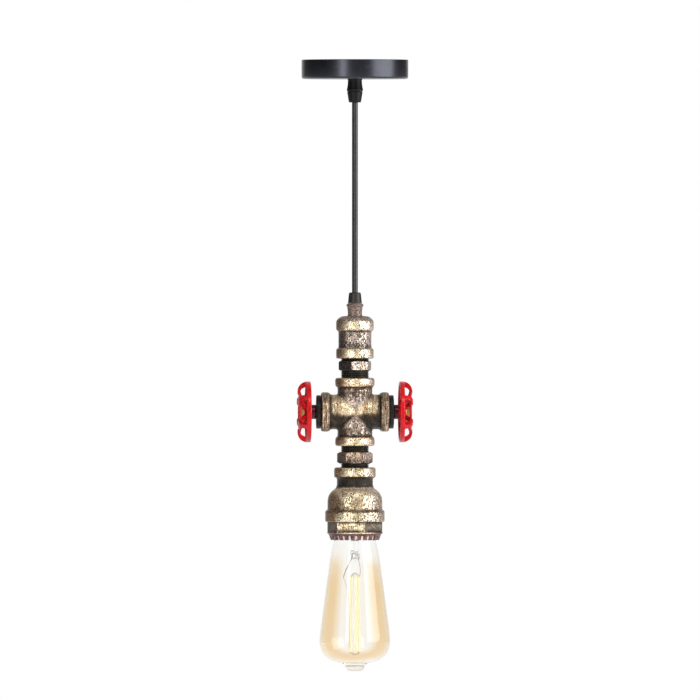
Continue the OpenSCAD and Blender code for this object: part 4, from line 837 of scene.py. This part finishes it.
bulbShape = {"rim": -440.2, "tip": -572.66, "length": 132.5, "radius": 33.0, "wall": 0.55, "neck": 12.0,
             "collar": ((13.2, -440.2), (13.7, -441.6), (16.0, -444.75), (19.0, -449.2)),
             "lengths": (0.17, 0.295, 0.468, 0.62, 0.76, 0.838, 0.893, 0.93, 0.946),
             "radii": (0.68, 0.757, 0.85, 0.932, 1.0, 0.972, 0.845, 0.62, 0.36),
             "nub": ((9.1, 4.6), (8.7, 3.0), (7.9, 1.4), (6.6, 0.4), (4.6, 0), (0, 0))}


def bulbSide(setup):
    knots = list(setup["collar"])
    knots += [(setup["radius"] * r, setup["rim"] - setup["length"] * share)
              for share, r in zip(setup["lengths"], setup["radii"])]
    return [(p.x, p.y) for p in smoothPath([(*k, 0) for k in knots], 7)]


def makeGlass(setup, material):
    wall, neck, rim = setup["wall"], setup["neck"], setup["rim"]
    outer = bulbSide(setup)
    nub = smoothPath([(*outer[-1], 0)] + [(r, setup["tip"] + up, 0) for r, up in setup["nub"]], 4)[1:]
    inner = []
    for k, (r, z) in enumerate(outer[1:], 1):
        before, after = outer[k - 1], outer[min(k + 1, len(outer) - 1)]
        run = Vector((after[0] - before[0], after[1] - before[1])).normalized()
        inner.append((r + wall * run.y, z - wall * run.x))
    inner.append((0, inner[-1][1] - 0.2))
    inner.reverse()
    inner += [(neck - 0.6, rim + 0.5), (neck - 0.6, rim + 6)]
    outline = [(neck, rim + 6), (neck, rim + 0.5)] + outer + [(p.x, p.y) for p in nub]
    shape = lathe(inner + outline, 128, closed=False)
    addPiece("bulbGlass", shape, material, "bulb", ("bulb_glass",), 0)


# Amber tint by height and by how steeply the glass is seen, with a milky nub
amberLook = {"clear": (0.98, 0.98, 0.97), "amber": (0.92, 0.785, 0.585), "fringe": (0.97, 0.955, 0.88),
             "nub": (0.92, 0.885, 0.85), "low": -573.0, "high": -440.0,
             "heights": [(0.0, 0.0), (0.045, 0.1), (0.09, 0.9), (0.3, 0.95), (0.6, 1.0), (0.72, 0.8), (0.84, 0.12),
                         (0.97, 0.0)],
             "limbs": [(0.0, 0.13), (0.09, 0.17), (0.17, 0.85), (0.3, 1.0), (0.42, 0.9), (0.58, 0.42),
                       (0.74, 0.12), (1.0, 0.0)]}


def amberGlass(setup):
    material, tree, shader = startMaterial("amberGlass", {"Transmission Weight": 1.0, "IOR": 1.25, "Roughness": 0.0})
    share = mapRange(tree, axisOf(tree, placedVector(tree), "Z"), setup["low"] * mm, setup["high"] * mm)
    cloud = noiseNode(tree, placedVector(tree, (1, 1, 0.5)), 30.0)
    uneven = mathNode(tree, "MULTIPLY_ADD", cloud, 0.12, mathNode(tree, "SUBTRACT", share, 0.06))
    depth = ramp(tree, uneven, setup["heights"], "EASE")
    limb = addNode(tree, "ShaderNodeLayerWeight", {"Blend": 0.5}).outputs["Facing"]
    ring = ramp(tree, limb, setup["limbs"], "EASE")
    tint = mixColour(tree, mathNode(tree, "MULTIPLY", depth, ring), setup["clear"], setup["amber"])
    edge = mapRange(tree, limb, 0.6, 0.95)
    tint = mixColour(tree, mathNode(tree, "MULTIPLY", edge, 0.7), tint, setup["fringe"])
    foot = mapRange(tree, share, 0.05, 0.03)
    tree.links.new(mixColour(tree, foot, tint, setup["nub"]), shader.inputs["Base Color"])
    tree.links.new(mathNode(tree, "MULTIPLY", foot, 0.4), shader.inputs["Roughness"])
    addBump(tree, shader, noiseNode(tree, placedVector(tree, (1, 1, 0.4)), 60.0, 1.0), 0.12, 0.3)
    return material


makeGlass(bulbShape, amberGlass(amberLook))

capShape = {"radius": 13.1, "pitch": 3.6, "depth": 1.0, "turns": 4.1, "crest": 0.35, "skin": 0.35, "top": -419.6,
            "foot": -434.6, "rim": -440.2, "nickel": (0.72, 0.66, 0.55)}


def makeCap(setup, material):
    radius, depth, top, foot, rim = (setup[k] for k in ("radius", "depth", "top", "foot", "rim"))
    root, inside = radius - depth, radius - setup["skin"]
    wall = lathe([(root - 0.6, top + 0.2), (root - 0.2, top + 1.0), (root, top), (root, foot),
                  (radius, foot - 1.0, 0.4), (radius, rim), (inside, rim), (inside, foot - 1.2),
                  (root - 0.6, foot - 0.2)], 96)
    ridge = helix(radius, depth, setup["pitch"], top, setup["turns"], 64, setup["crest"])
    addPiece("bulbCap", joinMeshes(wall, ridge), material, "bulb", ("bulb_cap",), 40)


makeCap(capShape, brushedMetal("nickelBrass", capShape["nickel"], 8, 0.25))

stemShape = {"tube": 3.4, "top": -441.5, "pressLow": -469.2, "tubeLow": -462.2, "rodLow": -557.0, "wire": 0.32,
             "shade": (0.9, 0.93, 0.92), "clear": (0.99, 0.99, 0.98), "metal": (0.20, 0.12, 0.07)}


def stemGlass(setup):
    material, tree, shader = startMaterial("stemGlass", {"Transmission Weight": 1.0, "IOR": 1.3, "Roughness": 0.02})
    streak = noiseNode(tree, placedVector(tree, (1, 1, 0.1)), 500.0)
    tree.links.new(mixColour(tree, streak, setup["shade"], setup["clear"]), shader.inputs["Base Color"])
    addBump(tree, shader, streak, 0.1, 0.5)
    return material


# The foot of the stem is pinched flat
def makeStem(setup, material):
    top, press, low, width = setup["top"], setup["pressLow"], setup["rodLow"], setup["tube"]
    shape = lathe([(8.4, top, 1.2), (6.4, top - 3, 2.0), (width, top - 7.5, 2.0), (width, setup["tubeLow"], 1.0),
                   (2.5, -465, 0.8), (2.4, press, 0.8), (0, press)], 48, closed=False)
    bmesh.ops.contextual_create(shape, geom=[e for e in shape.edges if e.is_boundary])
    for vert in shape.verts:
        if vert.co.z < (setup["tubeLow"] - 0.4) * mm:
            vert.co.x *= 1.6
            vert.co.y *= 0.55
    rod = lathe([(0, press + 1), (1.3, press + 1), (1.15, low + 1.6, 0.5), (1.7, low + 0.8, 0.6), (0.9, low, 0.4),
                 (0, low)], 24, closed=False)
    bmesh.ops.recalc_face_normals(shape, faces=shape.faces[:])
    addPiece("bulbStem", joinMeshes(shape, rod), material, "bulb", ("bulb_stem",), 40)


makeStem(stemShape, stemGlass(stemShape))
filamentShape = {"top": -484.2, "low": -555.2, "topRadius": 4.3, "lowRadius": 5.3, "pairs": 6, "wire": 0.34,
                 "hook": 0.14, "step": 1.5, "strength": 0.3, "base": ((0.60, 0.54, 0.24), (0.76, 0.72, 0.44)),
                 "glow": ((0.88, 0.76, 0.30), (0.96, 0.90, 0.52)),
                 "curls": ((-2.9, -461.4, 1.7), (1.9, -462.6, 2.1), (-1.2, -465.4, 2.3), (2.7, -466.6, 1.3))}


def makeWires(setup, stem, material):
    top, low = setup["top"], setup["low"]
    near = tube(smoothPath([(-2.0, -0.4, -462), (-2.8, -0.6, -466.5), (-5.2, -0.9, -472), (-8.4, -1.3, -478),
                            (-10.9, -1.5, -485)], 8), stem["wire"])
    long = tube(smoothPath([(-10.9, -1.5, -485), (-8.8, -1.9, -491), (-6.4, -2.2, -500), (-5.7, -2.2, -520),
                            (-5.6, -1.8, -543), (-5.3, -1.2, low - 0.4)], 8), stem["wire"] * 0.42)
    far = tube(smoothPath([(2.0, 0.4, -462), (2.9, 0.5, -467), (4.4, 1.2, -473), (5.2, 1.8, -479),
                           (4.4, 1.6, top)], 8), stem["wire"] * 0.55)
    loops = []
    for k, (x, z, size) in enumerate(setup["curls"]):
        turns = [Vector((x + size * math.cos(a * math.pi / 6 + k), -3.3 + 0.12 * a,
                         z + size * 0.8 * math.sin(a * math.pi / 6 + k))) for a in range(10)]
        loops.append(tube(smoothPath(turns, 3), stem["wire"] * 0.75, 8))
    near = joinMeshes(near, long, *loops)
    addPiece("bulbLeads", joinMeshes(near, far), material, "bulb", ("bulb_leads",), 0)
    hooks = []
    for k in range(setup["pairs"]):
        angle = math.tau * (k + 0.25) / setup["pairs"]
        for level, radius, dip in ((top, setup["topRadius"], 3.2), (low, setup["lowRadius"], -2.6)):
            out = Vector((math.cos(angle), math.sin(angle), 0))
            path = [out * 1.0 + Vector((0, 0, level + dip)), out * radius * 0.55 + Vector((0, 0, level + dip * 0.55)),
                    out * radius + Vector((0, 0, level)), out * (radius + 0.5) + Vector((0, 0, level - dip * 0.14))]
            hooks.append(tube(smoothPath(path, 5), setup["hook"], 8))
    addPiece("bulbSupports", joinMeshes(*hooks), material, "bulb", ("bulb_supports",), 0)


# Painted glow: the filament gives off a faint light of its own, and no lamp is made from it.
def filamentGlow(setup):
    material, tree, shader = startMaterial("filamentGlow", {"Emission Strength": setup["strength"], "Roughness": 0.5})
    along = noiseNode(tree, placedVector(tree, (1, 1, 3)), 900.0)
    glow = mixColour(tree, along, *setup["glow"])
    tree.links.new(mixColour(tree, along, *setup["base"]), shader.inputs["Base Color"])
    tree.links.new(glow, shader.inputs["Emission Color"])
    return material


# One wire that runs up and down between the hooks
def makeFilament(setup, material):
    path = []
    for k in range(setup["pairs"] * 2):
        angle = math.tau * (k + 0.5) / (setup["pairs"] * 2)
        ends = [(setup["topRadius"], setup["top"]), (setup["lowRadius"], setup["low"])]
        if k % 2:
            ends.reverse()
        for radius, level in ends:
            path.append(Vector((radius * math.cos(angle), radius * math.sin(angle), level)))
    path = path[:-1]
    fine = []
    for a, b in zip(path, path[1:]):
        count = max(2, int((b - a).length / setup["step"]))
        fine += [a.lerp(b, k / count) for k in range(count)]
    fine.append(path[-1])
    wire = tube(fine, setup["wire"], 12)
    addPiece("bulbFilament", wire, material, "bulb", ("bulb_filament",), 0)


makeWires(filamentShape, stemShape, brushedMetal("supportWire", stemShape["metal"], 11, 0.4))
makeFilament(filamentShape, filamentGlow(filamentShape))
print("bulb made")

# Finishes of the frame's own nodes that stay

steelFinish = brushedMetal("zincSteel", (0.46, 0.47, 0.48), 12, 0.4)
darkSteel = brushedMetal("blackSteel", (0.10, 0.10, 0.105), 13, 0.34)
ceramic = mouldedPlastic("holderCeramic", (0.78, 0.76, 0.70), 14, 0.3, 700.0)
blackPlastic = mouldedPlastic("blackPlastic", (0.02, 0.02, 0.021), 15)
greyRubber = mouldedPlastic("greyRubber", (0.10, 0.10, 0.105), 16, 0.62, 1800.0)
blackRubber = mouldedPlastic("blackRubber", (0.018, 0.018, 0.019), 17, 0.6, 1800.0)
kept = {"mounting_strap": steelFinish, "strap_screws": steelFinish, "canopy_set_screws": darkSteel,
        "terminal_block": mouldedPlastic("terminalPlastic", (0.80, 0.79, 0.74), 18, 0.4),
        "terminal_screws": brassFinish, "canopy_gland_nut": steelFinish, "canopy_gland_collet": greyRubber,
        "canopy_cord_tail": blackRubber, "canopy_cord_bush": blackRubber, "lamp_gland_collet": greyRubber,
        "lamp_cord_tail": blackRubber, "lampholder_body": ceramic, "screw_shell": brassFinish,
        "centre_contact": brassFinish, "shell_contact": brassFinish, "lampholder_screws": steelFinish,
        "bell_earth_screw": brassFinish, "left_spindle": darkSteel, "right_spindle": darkSteel,
        "left_spindle_clip": darkSteel, "right_spindle_clip": darkSteel,
        "bulb_tip_contact": brushedMetal("solder", (0.55, 0.55, 0.56), 19, 0.35),
        "bulb_cap_insulator": mouldedPlastic("capGlass", (0.02, 0.018, 0.025), 20, 0.15)}
for place in ("canopy", "lamp"):
    for core, colour in (("live", (0.17, 0.065, 0.025)), ("neutral", (0.03, 0.12, 0.38)),
                         ("earth", (0.10, 0.32, 0.06))):
        kept[place + "_" + core + "_core"] = mouldedPlastic(place + core.title(), colour, len(kept), 0.4)
for node, material in kept.items():
    cad[node].data.materials.clear()
    cad[node].data.materials.append(material)
print("kept nodes finished")

# Light, background and floor

lightSetup = {"world": 0.3, "floorDrop": -1.62, "floorSize": 12.0, "floorPale": 0.68, "middle": -0.30,
              "room": [(-180, 1.0), (-160, 1.0), (-142, 0.1), (-66, 0.06), (-50, 0.3), (0, 0.26), (88, 0.3),
                       (98, 0.08), (142, 0.1), (160, 1.0), (180, 1.0)],
              "overhead": (0.45, 0.45, 0.45), "paint": ((0.92, 0.92, 0.92), (0.95, 0.95, 0.95)),
              "lamps": {
                  "right": {"azimuth": 62, "elevation": 9, "distance": 2.0, "wide": 1.8, "high": 1.4, "power": 44.0},
                  "left": {"azimuth": -28, "elevation": 8, "distance": 2.0, "wide": 0.42, "high": 1.4, "power": 15.0},
                  "top": {"azimuth": 10, "elevation": 46, "distance": 2.2, "wide": 0.5, "high": 0.4, "power": 6.0}}}


# White behind the object for every ray but the diffuse ones, with a dimmer room around it in reflections
def makeWorld(setup):
    world = bpy.data.worlds.new("studio")
    bpy.context.scene.world = world
    world.use_nodes = True
    tree = world.node_tree
    rays = tree.nodes.new("ShaderNodeLightPath").outputs
    vector = tree.nodes.new("ShaderNodeTexCoord").outputs["Generated"]
    way = addNode(tree, "ShaderNodeSeparateXYZ", {0: vector}).outputs
    turn = mathNode(tree, "ARCTAN2", way["X"], mathNode(tree, "MULTIPLY", way["Y"], -1.0))
    share = mathNode(tree, "MULTIPLY_ADD", turn, 0.5 / math.pi, 0.5)
    room = ramp(tree, share, [((angle + 180) / 360, level) for angle, level in setup["room"]], "EASE")
    steep = mapRange(tree, mathNode(tree, "ABSOLUTE", way["Z"]), 0.35, 0.75, smooth=True)
    room = mixColour(tree, steep, room, setup["overhead"])
    shown = mathNode(tree, "MAXIMUM", rays["Is Camera Ray"], rays["Is Transmission Ray"])
    mirrored = mathNode(tree, "MULTIPLY", rays["Is Glossy Ray"], room)
    seen = mathNode(tree, "MAXIMUM", shown, mirrored)
    level = mathNode(tree, "MAXIMUM", seen, mathNode(tree, "MULTIPLY", rays["Is Diffuse Ray"], setup["world"]))
    tree.links.new(level, tree.nodes["Background"].inputs["Strength"])
    tree.nodes["Background"].inputs["Color"].default_value = (1, 1, 1, 1)


def makeLamp(name, setup, middle):
    data = bpy.data.lights.new(name, "AREA")
    data.shape, data.size, data.size_y, data.energy = "RECTANGLE", setup["wide"], setup["high"], setup["power"]
    side = sightDirection(setup["azimuth"], setup["elevation"])
    standBack(sceneObject(name, data), Vector((0, 0, middle)), side, setup["distance"])


# Pale from above, and clear from below
def makeFloor(setup):
    material, tree, shader = startMaterial("floorPaint", {"Roughness": 0.9})
    grain = noiseNode(tree, placedVector(tree), 40.0)
    tree.links.new(mixColour(tree, grain, *setup["paint"]), shader.inputs["Base Color"])
    rays = tree.nodes.new("ShaderNodeLightPath").outputs
    seen = mathNode(tree, "MAXIMUM", rays["Is Camera Ray"], rays["Is Glossy Ray"])
    seen = mathNode(tree, "MAXIMUM", seen, rays["Is Transmission Ray"])
    shader.inputs["Emission Color"].default_value = (1, 1, 1, 1)
    tree.links.new(mathNode(tree, "MULTIPLY", seen, setup["floorPale"]), shader.inputs["Emission Strength"])
    clear = tree.nodes.new("ShaderNodeBsdfTransparent").outputs[0]
    under = tree.nodes.new("ShaderNodeNewGeometry").outputs["Backfacing"]
    both = addNode(tree, "ShaderNodeMixShader", {0: under, 1: shader.outputs[0], 2: clear}).outputs[0]
    tree.links.new(both, tree.nodes["Material Output"].inputs["Surface"])
    shape = bmesh.new()
    bmesh.ops.create_grid(shape, x_segments=1, y_segments=1, size=setup["floorSize"],
                          matrix=Matrix.Translation((0, 0, setup["floorDrop"])))
    finishedObject("floor", shape, material)


makeWorld(lightSetup)
for name, lamp in lightSetup["lamps"].items():
    makeLamp(name, lamp, lightSetup["middle"])
makeFloor(lightSetup)
bpy.context.scene.view_settings.view_transform = "Standard"
print("light and floor made")
